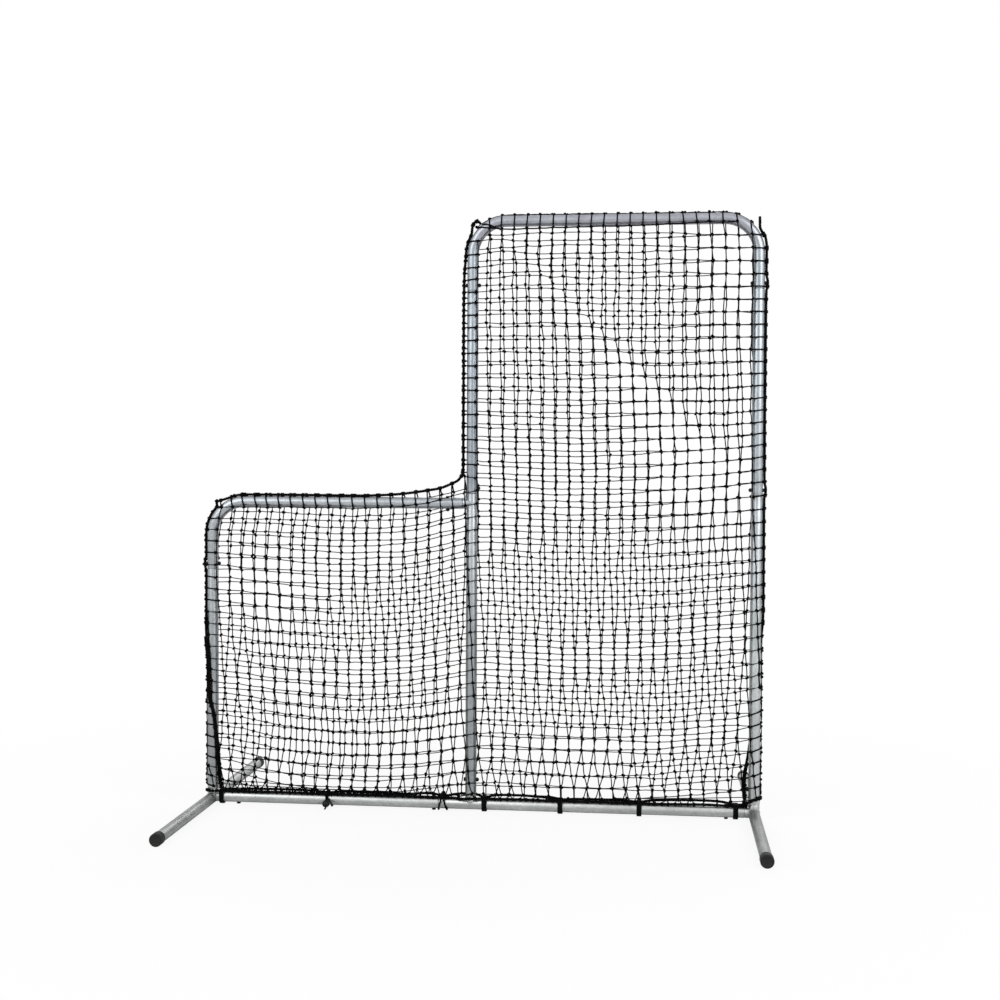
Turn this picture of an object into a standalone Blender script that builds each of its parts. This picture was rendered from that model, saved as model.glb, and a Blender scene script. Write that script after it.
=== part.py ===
"""Baseball L screen.

A knock-down frame of round tube stands on two long feet. Its tall bay is on the right, its low
bay is on the left, and the notch above the low bay is left open for the throwing arm. A net
pillowcase covers both faces of the frame, laced at its edges and tied to the floor rail.

Metres, +Z up. X runs along the screen, and -Y is the face seen in the photograph. The origin
is on the floor, under the middle of the screen.
"""

import math

import bmesh
import bpy
from mathutils import Vector

# Overall sizes of the frame
OVERALL_HEIGHT = 2.134
POST_SPACING = 1.962
LOW_BAY_WIDTH = 0.955
LOW_BAY_HEIGHT = 1.129
FOOT_SPAN = 1.219
TUBE_OD = 0.040
TUBE_WALL = 0.0016
BEND_RADIUS = 0.120

# The floor rail's axis lies a little above the feet's axis, so that its bolts clear the floor
RAIL_LIFT = 0.004

# Slip joints: a swaged spigot of one tube goes into the plain end of the next
SLIP_CLEARANCE = 0.0004
TOUCH_GAP = 0.0003
SWAGE_LENGTH = 0.003
SPIGOT_TAIL = 0.022
SPLICE_SEAM_TO_BOLT = 0.018
POST_SEAM_TO_BOLT = 0.055
RAIL_SEAM_TO_BOLT = 0.064
SPLICE_ABOVE_LOW_RAIL = 0.0543
BEND_TO_LEG_BOLT = 0.227
RAIL_SPLICE_TO_POST = 0.134

# Welded stubs
STUB_NECK = 0.013
WELD_STEP = 0.0004
STUB_FLOOR = 0.0008

# Hexagon bolts and cap nuts
SHANK_DIAMETER = 0.008
HOLE_CLEARANCE = 0.0005
HEAD_ACROSS_FLATS = 0.013
HEAD_HEIGHT = 0.0053
NUT_ACROSS_FLATS = 0.013
NUT_HEIGHT = 0.0065
NUT_DOME = 0.003
NUT_THREAD_DEPTH = 0.007

# Rubber end caps of the feet
CAP_OD = 0.0445
CAP_CLEARANCE = 0.0003
CAP_LENGTH = 0.035
CAP_END = 0.003

# Net, drawn with a coarser mesh than the real one and at the twine's real thickness
NET_TWINE = 0.003
NET_PITCH = 0.170
NET_EDGE_REACH = 0.017

# Lacing ropes, hem ropes and what ties the hem to the floor rail
ROPE_DIAMETER = 0.008
ROPE_TAIL = 0.036
ROPE_END_GAP = 0.002
STRAP_WIDTH = 0.0175
STRAP_THICKNESS = 0.002
BALL_DIAMETER = 0.026
TIE_CORD = 0.003
TIE_SPREAD = 0.013
LEFT_STRAP_TO_POST = 0.0373
CENTER_STRAP_TO_POST = 0.050
RIGHT_STRAP_TO_POST = 0.064
CORD_TIE_TO_POST = 0.101

# Overrun of every cut past the surface that it opens
CUT_OVERRUN = 0.003

# Counts that set how fine the faceted solids are
TUBE_SIDES = 16
BEND_STEPS = 8
HOLE_SIDES = 8
FASTENER_SIDES = 12
CORNER_STEPS = 5
ROUTE_SAMPLES = 2
ROPE_SIDES = 6
BALL_RINGS = 8

# The other two straps and the ball tie, as shares of the width of the bay that they are in
STRAP_SHARES = (0.3208, 0.5998)
BALL_TIE_SHARE = 0.4503

# Height of the hem ropes on the rail, and of the ball below it, as angles about the rail
HEM_ANGLE = math.radians(60)
BALL_ANGLE = math.radians(-15)

# Sizes that follow from the ones above
TUBE_RADIUS = TUBE_OD / 2
BORE_RADIUS = TUBE_RADIUS - TUBE_WALL
SPIGOT_RADIUS = BORE_RADIUS - SLIP_CLEARANCE
SPIGOT_BORE_RADIUS = SPIGOT_RADIUS - TUBE_WALL
ROPE_RADIUS = ROPE_DIAMETER / 2
FOOT_Z = CAP_OD / 2
RAIL_Z = FOOT_Z + RAIL_LIFT
TOP_Z = OVERALL_HEIGHT - TUBE_RADIUS
LOW_Z = LOW_BAY_HEIGHT - TUBE_RADIUS
LEFT_X = -POST_SPACING / 2
RIGHT_X = POST_SPACING / 2
CENTER_X = LEFT_X + LOW_BAY_WIDTH
STUB_SEAM = TUBE_RADIUS + STUB_NECK
POST_STUB_BOLT = STUB_SEAM + POST_SEAM_TO_BOLT
RAIL_STUB_BOLT = STUB_SEAM + RAIL_SEAM_TO_BOLT
SPLICE_BOLT_Z = LOW_Z + SPLICE_ABOVE_LOW_RAIL
SPLICE_SEAM_Z = SPLICE_BOLT_Z - SPLICE_SEAM_TO_BOLT
ARCH_BOLT_Z = TOP_Z - BEND_TO_LEG_BOLT
ARCH_SEAM_Z = ARCH_BOLT_Z - SPLICE_SEAM_TO_BOLT
CORNER_BOLT_Z = LOW_Z - BEND_TO_LEG_BOLT
CORNER_SEAM_Z = CORNER_BOLT_Z - SPLICE_SEAM_TO_BOLT
RAIL_SPLICE_X = CENTER_X - RAIL_SPLICE_TO_POST
RAIL_SEAM_X = RAIL_SPLICE_X + SPLICE_SEAM_TO_BOLT
STRAPS_X = (
    LEFT_X + LEFT_STRAP_TO_POST, CENTER_X + CENTER_STRAP_TO_POST,
    *(CENTER_X + (RIGHT_X - CENTER_X) * share for share in STRAP_SHARES),
    RIGHT_X - RIGHT_STRAP_TO_POST,
)
BALL_TIE_X = LEFT_X + LOW_BAY_WIDTH * BALL_TIE_SHARE
CORD_TIE_X = CENTER_X - CORD_TIE_TO_POST

# The side ropes ride over the bolt heads, and cross a post outside the net's face
SIDE_STANDOFF = TUBE_RADIUS + HEAD_HEIGHT + 2 * TOUCH_GAP + ROPE_RADIUS
TOP_STANDOFF = TUBE_RADIUS + TOUCH_GAP + ROPE_RADIUS
NET_OUTSIDE = TUBE_RADIUS + TOUCH_GAP + NET_TWINE
FACE_STANDOFF = NET_OUTSIDE + 2 * TOUCH_GAP + ROPE_RADIUS
HEM_Y = TOP_STANDOFF * math.cos(HEM_ANGLE)
HEM_Z = RAIL_Z + TOP_STANDOFF * math.sin(HEM_ANGLE)
NET_BOTTOM_Z = HEM_Z + ROPE_RADIUS + 2 * TIE_CORD + 5 * TOUCH_GAP

X_AXIS = Vector((1, 0, 0))
Y_AXIS = Vector((0, 1, 0))
Z_AXIS = Vector((0, 0, 1))


def make_material(name, color, roughness, metallic):
    material = bpy.data.materials.new(name)
    material.use_nodes = True
    shader = material.node_tree.nodes["Principled BSDF"]
    shader.inputs["Base Color"].default_value = (*color, 1)
    shader.inputs["Roughness"].default_value = roughness
    shader.inputs["Metallic"].default_value = metallic
    material.diffuse_color = (*color, 1)
    return material


def clear_scene():
    for item in list(bpy.data.objects):
        bpy.data.objects.remove(item)


def add_object(name, data, material):
    item = bpy.data.objects.new(name, data)
    bpy.context.scene.collection.objects.link(item)
    if material:
        data.materials.append(material)
    return item


def mesh_from_bmesh(name, bm):
    bmesh.ops.recalc_face_normals(bm, faces=bm.faces)
    mesh = bpy.data.meshes.new(name)
    bm.to_mesh(mesh)
    bm.free()
    mesh.shade_smooth()
    mesh.set_sharp_from_angle(angle=math.radians(40))
    return mesh


def ring(bm, center, side, up, radii):
    """One closed loop of vertices about a center, with its own radius at each vertex."""
    count = len(radii)
    loop = []
    for index, radius in enumerate(radii):
        angle = 2 * math.pi * index / count
        spot = center + side * (radius * math.cos(angle)) + up * (radius * math.sin(angle))
        loop.append(bm.verts.new(spot))
    return loop


def bridge(bm, first, second):
    count = len(first)
    for index in range(count):
        after = (index + 1) % count
        bm.faces.new((first[index], first[after], second[after], second[index]))


def circle(radius, sides):
    return [radius] * sides


def hexagon(across_flats, sides):
    """Radii of a hexagon at evenly spaced angles, with a vertex at every sixth of a turn."""
    radii = []
    sixth = math.pi / 3
    for index in range(sides):
        angle = (2 * math.pi * index / sides) % sixth
        radii.append(across_flats / 2 / math.cos(angle - sixth / 2))
    return radii


def axis_frame(axis):
    """Two directions square to an axis, chosen alike so that the facets of mated tubes agree."""
    guide = Y_AXIS if abs(axis.y) < abs(axis.x) + abs(axis.z) else Z_AXIS
    side = (guide - axis * guide.dot(axis)).normalized()
    return side, axis.cross(side)


def solid_profile(start, axis, profile, turn=0):
    """A closed turned solid: profile holds (distance along the axis, radii of that ring)."""
    bm = bmesh.new()
    side, up = axis_frame(axis)
    turned = side * math.cos(turn) + up * math.sin(turn)
    up = axis.cross(turned)
    loops = [ring(bm, start + axis * along, turned, up, radii) for along, radii in profile]
    for first, second in zip(loops, loops[1:]):
        bridge(bm, first, second)
    bm.faces.new(loops[0])
    bm.faces.new(loops[-1])
    return bm


def hollow_tube(name, stations):
    """A tube, open at both ends: each station holds center, side, up, outer and inner radius."""
    bm = bmesh.new()
    outer = []
    inner = []
    for center, side, up, outside, inside in stations:
        outer.append(ring(bm, center, side, up, circle(outside, TUBE_SIDES)))
        inner.append(ring(bm, center, side, up, circle(inside, TUBE_SIDES)))
    for loops in (outer, inner):
        for first, second in zip(loops, loops[1:]):
            bridge(bm, first, second)
    bridge(bm, outer[0], inner[0])
    bridge(bm, outer[-1], inner[-1])
    return mesh_from_bmesh(name, bm)


def straight_stations(start, axis, length, spigot):
    """Stations of a straight tube whose far end is plain, or has a swaged spigot past it."""
    side, up = axis_frame(axis)
    shoulder = length - SWAGE_LENGTH if spigot else length
    stations = [
        (start, side, up, TUBE_RADIUS, BORE_RADIUS),
        (start + axis * shoulder, side, up, TUBE_RADIUS, BORE_RADIUS),
    ]
    if spigot:
        for along in (length, length + spigot):
            center = start + axis * along
            stations.append((center, side, up, SPIGOT_RADIUS, SPIGOT_BORE_RADIUS))
    return stations


def make_cutter(name, bm):
    """A hidden solid for a Boolean to use."""
    item = add_object(name, mesh_from_bmesh(name, bm), None)
    item.hide_render = True
    item.display_type = "WIRE"
    return item


def apply_boolean(item, operation, cutter):
    modifier = item.modifiers.new(operation.lower(), "BOOLEAN")
    modifier.operation = operation
    modifier.solver = "EXACT"
    modifier.object = cutter


def drill(item, center, axis):
    """A bolt hole right through a tube."""
    reach = TUBE_RADIUS + CUT_OVERRUN
    hole = circle(SHANK_DIAMETER / 2 + HOLE_CLEARANCE, HOLE_SIDES)
    profile = [(0, hole), (2 * reach, hole)]
    bm = solid_profile(center - axis * reach, axis, profile, math.pi / HOLE_SIDES)
    apply_boolean(item, "DIFFERENCE", make_cutter("cut_hole", bm))


def weld_stub(item, center, axis, seam_to_bolt):
    """A stub on the side of a tube: a short neck, then a swaged spigot for the next tube."""
    neck = circle(TUBE_RADIUS - WELD_STEP, TUBE_SIDES)
    spigot = circle(SPIGOT_RADIUS, TUBE_SIDES)
    end = STUB_SEAM + seam_to_bolt + SPIGOT_TAIL
    profile = [(0, neck), (STUB_SEAM - SWAGE_LENGTH, neck), (STUB_SEAM, spigot), (end, spigot)]
    apply_boolean(item, "UNION", make_cutter("add_stub", solid_profile(center, axis, profile)))


def bore_stub(item, center, axis, seam_to_bolt):
    """The stub's own bore, which stops at the wall of the tube that carries it."""
    bore = circle(SPIGOT_BORE_RADIUS, TUBE_SIDES)
    start = TUBE_RADIUS + STUB_FLOOR
    end = STUB_SEAM + seam_to_bolt + SPIGOT_TAIL + CUT_OVERRUN
    bm = solid_profile(center, axis, [(start, bore), (end, bore)])
    apply_boolean(item, "DIFFERENCE", make_cutter("cut_stub_bore", bm))


def welded_tube(name, material, start, axis, length, spigot, stubs):
    """A straight tube with stubs: each stub holds its center, direction and bolt distance."""
    plain = circle(TUBE_RADIUS, TUBE_SIDES)
    bore = circle(BORE_RADIUS, TUBE_SIDES)
    shoulder = length - SWAGE_LENGTH if spigot else length
    outside = [(0, plain), (shoulder, plain)]
    inside = [(-CUT_OVERRUN, bore)]
    if spigot:
        swaged = circle(SPIGOT_RADIUS, TUBE_SIDES)
        narrow = circle(SPIGOT_BORE_RADIUS, TUBE_SIDES)
        outside += [(length, swaged), (length + spigot, swaged)]
        inside += [(shoulder, bore), (length, narrow), (length + spigot + CUT_OVERRUN, narrow)]
    else:
        inside.append((length + CUT_OVERRUN, bore))
    mesh = mesh_from_bmesh(name, solid_profile(start, axis, outside))
    item = add_object(name, mesh, material)
    for center, direction, seam_to_bolt in stubs:
        weld_stub(item, center, direction, seam_to_bolt)
    cutter = make_cutter("cut_bore", solid_profile(start, axis, inside))
    apply_boolean(item, "DIFFERENCE", cutter)
    for center, direction, seam_to_bolt in stubs:
        bore_stub(item, center, direction, seam_to_bolt)
    return item


def bend_stations(center, start_angle, end_angle):
    """Stations round a quarter bend in the screen's plane, from one angle to the other."""
    stations = []
    for step in range(BEND_STEPS + 1):
        angle = start_angle + (end_angle - start_angle) * step / BEND_STEPS
        outward = Vector((math.cos(angle), 0, math.sin(angle)))
        spot = center + outward * BEND_RADIUS
        stations.append((spot, outward, Y_AXIS, TUBE_RADIUS, BORE_RADIUS))
    return stations


def make_feet(steel):
    """Each foot is a long tube with a stub for its post and a stub for the floor rail."""
    length = FOOT_SPAN - 2 * (CAP_END + TOUCH_GAP)
    for name, post_x, inward in (("left_foot", LEFT_X, X_AXIS), ("right_foot", RIGHT_X, -X_AXIS)):
        middle = Vector((post_x, 0, FOOT_Z))
        rail_end = Vector((post_x, 0, RAIL_Z))
        stubs = [(middle, Z_AXIS, POST_SEAM_TO_BOLT), (rail_end, inward, RAIL_SEAM_TO_BOLT)]
        start = middle - Y_AXIS * (length / 2)
        foot = welded_tube(name, steel, start, Y_AXIS, length, 0, stubs)
        drill(foot, middle + Z_AXIS * POST_STUB_BOLT, X_AXIS)
        drill(foot, rail_end + inward * RAIL_STUB_BOLT, Z_AXIS)


def make_floor_rail(steel):
    """The floor rail is in two lengths, joined left of the middle post."""
    left_start = Vector((LEFT_X + STUB_SEAM + TOUCH_GAP, 0, RAIL_Z))
    left_length = RAIL_SEAM_X - TOUCH_GAP - left_start.x
    stations = straight_stations(left_start, X_AXIS, left_length, 0)
    left_rail = add_object("left_floor_rail", hollow_tube("left_floor_rail", stations), steel)
    drill(left_rail, Vector((LEFT_X + RAIL_STUB_BOLT, 0, RAIL_Z)), Z_AXIS)
    drill(left_rail, Vector((RAIL_SPLICE_X, 0, RAIL_Z)), Z_AXIS)

    right_start = Vector((RIGHT_X - STUB_SEAM - TOUCH_GAP, 0, RAIL_Z))
    right_length = right_start.x - RAIL_SEAM_X
    spigot = SPLICE_SEAM_TO_BOLT + SPIGOT_TAIL
    post_foot = Vector((CENTER_X, 0, RAIL_Z))
    right_rail = welded_tube(
        "right_floor_rail", steel, right_start, -X_AXIS, right_length, spigot,
        [(post_foot, Z_AXIS, POST_SEAM_TO_BOLT)],
    )
    drill(right_rail, Vector((RIGHT_X - RAIL_STUB_BOLT, 0, RAIL_Z)), Z_AXIS)
    drill(right_rail, Vector((RAIL_SPLICE_X, 0, RAIL_Z)), Z_AXIS)
    drill(right_rail, post_foot + Z_AXIS * POST_STUB_BOLT, X_AXIS)


def make_post(name, steel, post_x, bottom_z, bottom_bolt_z, seam_z):
    """A straight post with a plain lower end and a swaged spigot on top."""
    start = Vector((post_x, 0, bottom_z))
    spigot = SPLICE_SEAM_TO_BOLT + SPIGOT_TAIL
    stations = straight_stations(start, Z_AXIS, seam_z - bottom_z, spigot)
    post = add_object(name, hollow_tube(name, stations), steel)
    drill(post, Vector((post_x, 0, bottom_bolt_z)), X_AXIS)
    drill(post, Vector((post_x, 0, seam_z + SPLICE_SEAM_TO_BOLT)), X_AXIS)


def make_posts(steel):
    foot_seam = FOOT_Z + STUB_SEAM + TOUCH_GAP
    foot_bolt = FOOT_Z + POST_STUB_BOLT
    make_post("left_upright", steel, LEFT_X, foot_seam, foot_bolt, CORNER_SEAM_Z)
    make_post("right_lower_post", steel, RIGHT_X, foot_seam, foot_bolt, SPLICE_SEAM_Z)
    splice_start = SPLICE_SEAM_Z + TOUCH_GAP
    make_post("right_upper_post", steel, RIGHT_X, splice_start, SPLICE_BOLT_Z, ARCH_SEAM_Z)
    make_post("center_upper_post", steel, CENTER_X, splice_start, SPLICE_BOLT_Z, ARCH_SEAM_Z)

    start = Vector((CENTER_X, 0, RAIL_Z + STUB_SEAM + TOUCH_GAP))
    low_rail_end = Vector((CENTER_X, 0, LOW_Z))
    lower = welded_tube(
        "center_lower_post", steel, start, Z_AXIS, SPLICE_SEAM_Z - start.z,
        SPLICE_SEAM_TO_BOLT + SPIGOT_TAIL, [(low_rail_end, -X_AXIS, POST_SEAM_TO_BOLT)],
    )
    drill(lower, Vector((CENTER_X, 0, RAIL_Z + POST_STUB_BOLT)), X_AXIS)
    drill(lower, Vector((CENTER_X, 0, SPLICE_BOLT_Z)), X_AXIS)
    drill(lower, low_rail_end - X_AXIS * POST_STUB_BOLT, Z_AXIS)


def leg_station(post_x, height, outward):
    return (Vector((post_x, 0, height)), outward, Y_AXIS, TUBE_RADIUS, BORE_RADIUS)


def make_top_arch(steel):
    """One tube, bent twice, over the tall bay."""
    bend_z = TOP_Z - BEND_RADIUS
    left_bend = Vector((CENTER_X + BEND_RADIUS, 0, bend_z))
    right_bend = Vector((RIGHT_X - BEND_RADIUS, 0, bend_z))
    stations = [leg_station(CENTER_X, ARCH_SEAM_Z + TOUCH_GAP, -X_AXIS)]
    stations += bend_stations(left_bend, math.pi, math.pi / 2)
    stations += bend_stations(right_bend, math.pi / 2, 0)
    stations.append(leg_station(RIGHT_X, ARCH_SEAM_Z + TOUCH_GAP, X_AXIS))
    arch = add_object("top_arch", hollow_tube("top_arch", stations), steel)
    drill(arch, Vector((CENTER_X, 0, ARCH_BOLT_Z)), X_AXIS)
    drill(arch, Vector((RIGHT_X, 0, ARCH_BOLT_Z)), X_AXIS)


def make_low_corner_rail(steel):
    """One tube, bent once, from the left upright to the stub on the middle post."""
    bend = Vector((LEFT_X + BEND_RADIUS, 0, LOW_Z - BEND_RADIUS))
    rail_end = Vector((CENTER_X - STUB_SEAM - TOUCH_GAP, 0, LOW_Z))
    stations = [leg_station(LEFT_X, CORNER_SEAM_Z + TOUCH_GAP, -X_AXIS)]
    stations += bend_stations(bend, math.pi, math.pi / 2)
    stations.append((rail_end, Z_AXIS, Y_AXIS, TUBE_RADIUS, BORE_RADIUS))
    corner = add_object("low_corner_rail", hollow_tube("low_corner_rail", stations), steel)
    drill(corner, Vector((LEFT_X, 0, CORNER_BOLT_Z)), X_AXIS)
    drill(corner, Vector((CENTER_X - POST_STUB_BOLT, 0, LOW_Z)), Z_AXIS)


def bolt_places():
    """Name, center and head direction of each bolt. The heads of the side bolts face outward."""
    foot_bolt = FOOT_Z + POST_STUB_BOLT
    return [
        ("left_post_base", Vector((LEFT_X, 0, foot_bolt)), -X_AXIS),
        ("left_corner", Vector((LEFT_X, 0, CORNER_BOLT_Z)), -X_AXIS),
        ("low_rail_end", Vector((CENTER_X - POST_STUB_BOLT, 0, LOW_Z)), Z_AXIS),
        ("center_post_base", Vector((CENTER_X, 0, RAIL_Z + POST_STUB_BOLT)), -X_AXIS),
        ("center_post_splice", Vector((CENTER_X, 0, SPLICE_BOLT_Z)), -X_AXIS),
        ("center_arch_leg", Vector((CENTER_X, 0, ARCH_BOLT_Z)), -X_AXIS),
        ("right_arch_leg", Vector((RIGHT_X, 0, ARCH_BOLT_Z)), X_AXIS),
        ("right_post_splice", Vector((RIGHT_X, 0, SPLICE_BOLT_Z)), X_AXIS),
        ("right_post_base", Vector((RIGHT_X, 0, foot_bolt)), X_AXIS),
        ("left_rail_end", Vector((LEFT_X + RAIL_STUB_BOLT, 0, RAIL_Z)), -Z_AXIS),
        ("rail_splice", Vector((RAIL_SPLICE_X, 0, RAIL_Z)), -Z_AXIS),
        ("right_rail_end", Vector((RIGHT_X - RAIL_STUB_BOLT, 0, RAIL_Z)), -Z_AXIS),
    ]


def make_bolt(name, center, head_side, material):
    """A hexagon head outside the tube, and a shank through both joined tubes into the nut."""
    head = hexagon(HEAD_ACROSS_FLATS, FASTENER_SIDES)
    crown = circle(HEAD_ACROSS_FLATS / 2, FASTENER_SIDES)
    shank = circle(SHANK_DIAMETER / 2, FASTENER_SIDES)
    seat = TUBE_RADIUS + TOUCH_GAP
    chamfer = HEAD_HEIGHT / 5
    tip = seat + NUT_THREAD_DEPTH - TOUCH_GAP
    profile = [
        (-tip, shank), (seat, shank), (seat, head),
        (seat + HEAD_HEIGHT - chamfer, head), (seat + HEAD_HEIGHT, crown),
    ]
    mesh = mesh_from_bmesh(name, solid_profile(center, head_side, profile))
    add_object(name, mesh, material)


def make_cap_nut(name, center, nut_side, material):
    """A domed nut with a blind thread bore that faces the tube."""
    bore = circle(SHANK_DIAMETER / 2 + HOLE_CLEARANCE, FASTENER_SIDES)
    body = hexagon(NUT_ACROSS_FLATS, FASTENER_SIDES)
    dome_foot = circle(NUT_ACROSS_FLATS / 2, FASTENER_SIDES)
    dome_top = circle(NUT_ACROSS_FLATS / 4, FASTENER_SIDES)
    seat = TUBE_RADIUS + TOUCH_GAP
    chamfer = NUT_HEIGHT / 6
    profile = [
        (seat + NUT_THREAD_DEPTH, bore), (seat, bore), (seat, body),
        (seat + NUT_HEIGHT - chamfer, body), (seat + NUT_HEIGHT, dome_foot),
        (seat + NUT_HEIGHT + NUT_DOME, dome_top),
    ]
    mesh = mesh_from_bmesh(name, solid_profile(center, nut_side, profile))
    add_object(name, mesh, material)


def make_end_caps(rubber):
    """A sleeve with a closed end on each foot. A flat of its outer side rests on the floor."""
    flat = 1 / math.cos(math.pi / TUBE_SIDES)
    outside = CAP_OD / 2 * flat
    inside = (TUBE_RADIUS + CAP_CLEARANCE) * flat
    for side_name, post_x in (("left", LEFT_X), ("right", RIGHT_X)):
        for end_name, outward in (("front", -Y_AXIS), ("rear", Y_AXIS)):
            name = f"{side_name}_{end_name}_cap"
            tip = Vector((post_x, 0, FOOT_Z)) + outward * (FOOT_SPAN / 2)
            profile = [
                (-CAP_END, circle(inside, TUBE_SIDES)), (-CAP_LENGTH, circle(inside, TUBE_SIDES)),
                (-CAP_LENGTH, circle(outside, TUBE_SIDES)), (0, circle(outside, TUBE_SIDES)),
            ]
            bm = solid_profile(tip, outward, profile, math.pi / TUBE_SIDES)
            add_object(name, mesh_from_bmesh(name, bm), rubber)


def strand_edges(low, high, count):
    """Both edges of each strand, for evenly spaced strands whose outer edges are low and high."""
    step = (high - low - NET_TWINE) / count
    return [(low + step * index, low + step * index + NET_TWINE) for index in range(count + 1)]


def pull_in_corner(x, z, corners):
    """Move a point of a square corner of the net onto the round bend of the tube."""
    for center_x, center_z, outward in corners:
        across = (x - center_x) * outward
        above = z - center_z
        if across > 0 and above > 0:
            stretch = max(across, above) / math.hypot(across, above)
            return center_x + across * stretch * outward, center_z + above * stretch
    return x, z


def net_panel(name, material, columns_at, rows_at, corners, face_y, thickness):
    """A flat net: strands both ways, with a gap in each cell, made as one faced body."""
    bm = bmesh.new()
    verts = {}

    def corner_vert(x, z):
        key = (round(x / NET_TWINE * 100), round(z / NET_TWINE * 100))
        if key not in verts:
            spot_x, spot_z = pull_in_corner(x, z, corners)
            verts[key] = bm.verts.new((spot_x, face_y, spot_z))
        return verts[key]

    def patch(x_low, x_high, z_low, z_high):
        spots = ((x_low, z_low), (x_high, z_low), (x_high, z_high), (x_low, z_high))
        bm.faces.new([corner_vert(x, z) for x, z in spots])

    def steps_for(x, z):
        return CORNER_STEPS if pull_in_corner(x, z, corners) != (x, z) else 1

    for left, right in columns_at:
        for low, high in rows_at:
            patch(left, right, low, high)
        for (_, low), (high, _) in zip(rows_at, rows_at[1:]):
            steps = steps_for((left + right) / 2, high)
            for step in range(steps):
                start = low + (high - low) * step / steps
                end = low + (high - low) * (step + 1) / steps
                patch(left, right, start, end)
    for low, high in rows_at:
        for (_, left), (right, _) in zip(columns_at, columns_at[1:]):
            near_left = steps_for(left, (low + high) / 2)
            steps = max(near_left, steps_for(right, (low + high) / 2))
            for step in range(steps):
                start = left + (right - left) * step / steps
                end = left + (right - left) * (step + 1) / steps
                patch(start, end, low, high)
    front = bmesh.ops.extrude_face_region(bm, geom=list(bm.faces))
    moved = [part for part in front["geom"] if isinstance(part, bmesh.types.BMVert)]
    bmesh.ops.translate(bm, verts=moved, vec=Y_AXIS * thickness)
    mesh = mesh_from_bmesh(name, bm)
    add_object(name, mesh, material)


def make_nets(twine):
    """The pillowcase is split at the middle post, so that the notch stays free."""
    tall_left = CENTER_X - NET_EDGE_REACH
    tall_right = RIGHT_X + NET_EDGE_REACH
    low_left = LEFT_X - NET_EDGE_REACH
    low_right = tall_left - TOUCH_GAP
    bend_z = TOP_Z - BEND_RADIUS
    tall_corners = [
        (CENTER_X + BEND_RADIUS, bend_z, -1),
        (RIGHT_X - BEND_RADIUS, bend_z, 1),
    ]
    low_corners = [(LEFT_X + BEND_RADIUS, LOW_Z - BEND_RADIUS, -1)]
    panels = [
        ("tall", tall_left, tall_right, TOP_Z + NET_EDGE_REACH, tall_corners),
        ("low", low_left, low_right, LOW_Z + NET_EDGE_REACH, low_corners),
    ]
    for bay, left, right, top, corners in panels:
        columns = max(1, round((right - left) / NET_PITCH))
        rows = max(1, round((top - NET_BOTTOM_Z) / NET_PITCH))
        columns_at = strand_edges(left, right, columns)
        rows_at = strand_edges(NET_BOTTOM_Z, top, rows)
        for face, outward in (("front", -1), ("back", 1)):
            face_y = outward * (TUBE_RADIUS + TOUCH_GAP)
            thickness = outward * NET_TWINE
            name = f"net_{face}_{bay}"
            net_panel(name, twine, columns_at, rows_at, corners, face_y, thickness)


def route_tangents(points):
    """The direction of travel at each point, scaled to the shorter of the two spans there."""
    tangents = []
    for index, spot in enumerate(points):
        back = spot - points[index - 1] if index else points[1] - spot
        ahead = points[index + 1] - spot if index + 1 < len(points) else back
        heading = back.normalized() * ahead.length + ahead.normalized() * back.length
        tangents.append(heading.normalized() * min(back.length, ahead.length))
    return tangents


def smooth_route(points, samples):
    """Points of a smooth curve through all the given ones, by cubic Hermite spans."""
    tangents = route_tangents(points)
    route = []
    for start, end, leave, arrive in zip(points, points[1:], tangents, tangents[1:]):
        for sample in range(samples):
            t = sample / samples
            ease = t * t * (3 - 2 * t)
            bow = leave * (t * (1 - t) ** 2) - arrive * (t * t * (1 - t))
            route.append(start * (1 - ease) + end * ease + bow)
    route.append(points[-1])
    return route


def rope(name, points, diameter, material, guide, cyclic=False):
    """A round rope along a polyline. The guide is a direction that the rope never runs along."""
    bm = bmesh.new()
    count = len(points)
    loops = []
    for index, spot in enumerate(points):
        before = points[index - 1] if index or cyclic else spot
        after = points[(index + 1) % count] if index + 1 < count or cyclic else spot
        tangent = (after - before).normalized()
        side = (guide - tangent * guide.dot(tangent)).normalized()
        loops.append(ring(bm, spot, side, tangent.cross(side), circle(diameter / 2, ROPE_SIDES)))
    for first, second in zip(loops, loops[1:]):
        bridge(bm, first, second)
    if cyclic:
        bridge(bm, loops[-1], loops[0])
    else:
        bm.faces.new(loops[0])
        bm.faces.new(loops[-1])
    add_object(name, mesh_from_bmesh(name, bm), material)


def bend_spot(bend, turn, radius, y):
    """A point round a left-hand bend: turn is 0 degrees on the post's side and 90 on top."""
    angle = math.pi - math.radians(turn)
    return Vector((bend.x + radius * math.cos(angle), y, bend.z + radius * math.sin(angle)))


# The left rope swings from the post's outer side over its face to the inner side. Each row
# is the share of the side stand-off, of the face stand-off and of the low bay's height
LEFT_SWING_SHARES = (
    (-1.00, 0.00, 0.60), (-0.97, -0.57, 0.550), (-0.74, -0.97, 0.483), (-0.40, -1.00, 0.375),
    (0.00, -1.00, 0.244), (0.42, -1.00, 0.125), (0.93, -1.00, 0.062),
)

# The right rope goes behind its post in the same way, also in shares of the low bay's height
RIGHT_SWING_SHARES = (
    (1.00, 0.00, 0.64), (0.97, 0.57, 0.58), (0.74, 0.97, 0.52), (0.35, 1.00, 0.44),
    (0.00, 1.00, 0.34), (-0.35, 1.00, 0.25), (-0.80, 1.00, 0.17), (-1.00, 1.00, 0.10),
    (-1.00, 1.00, 0.062),
)

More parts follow.
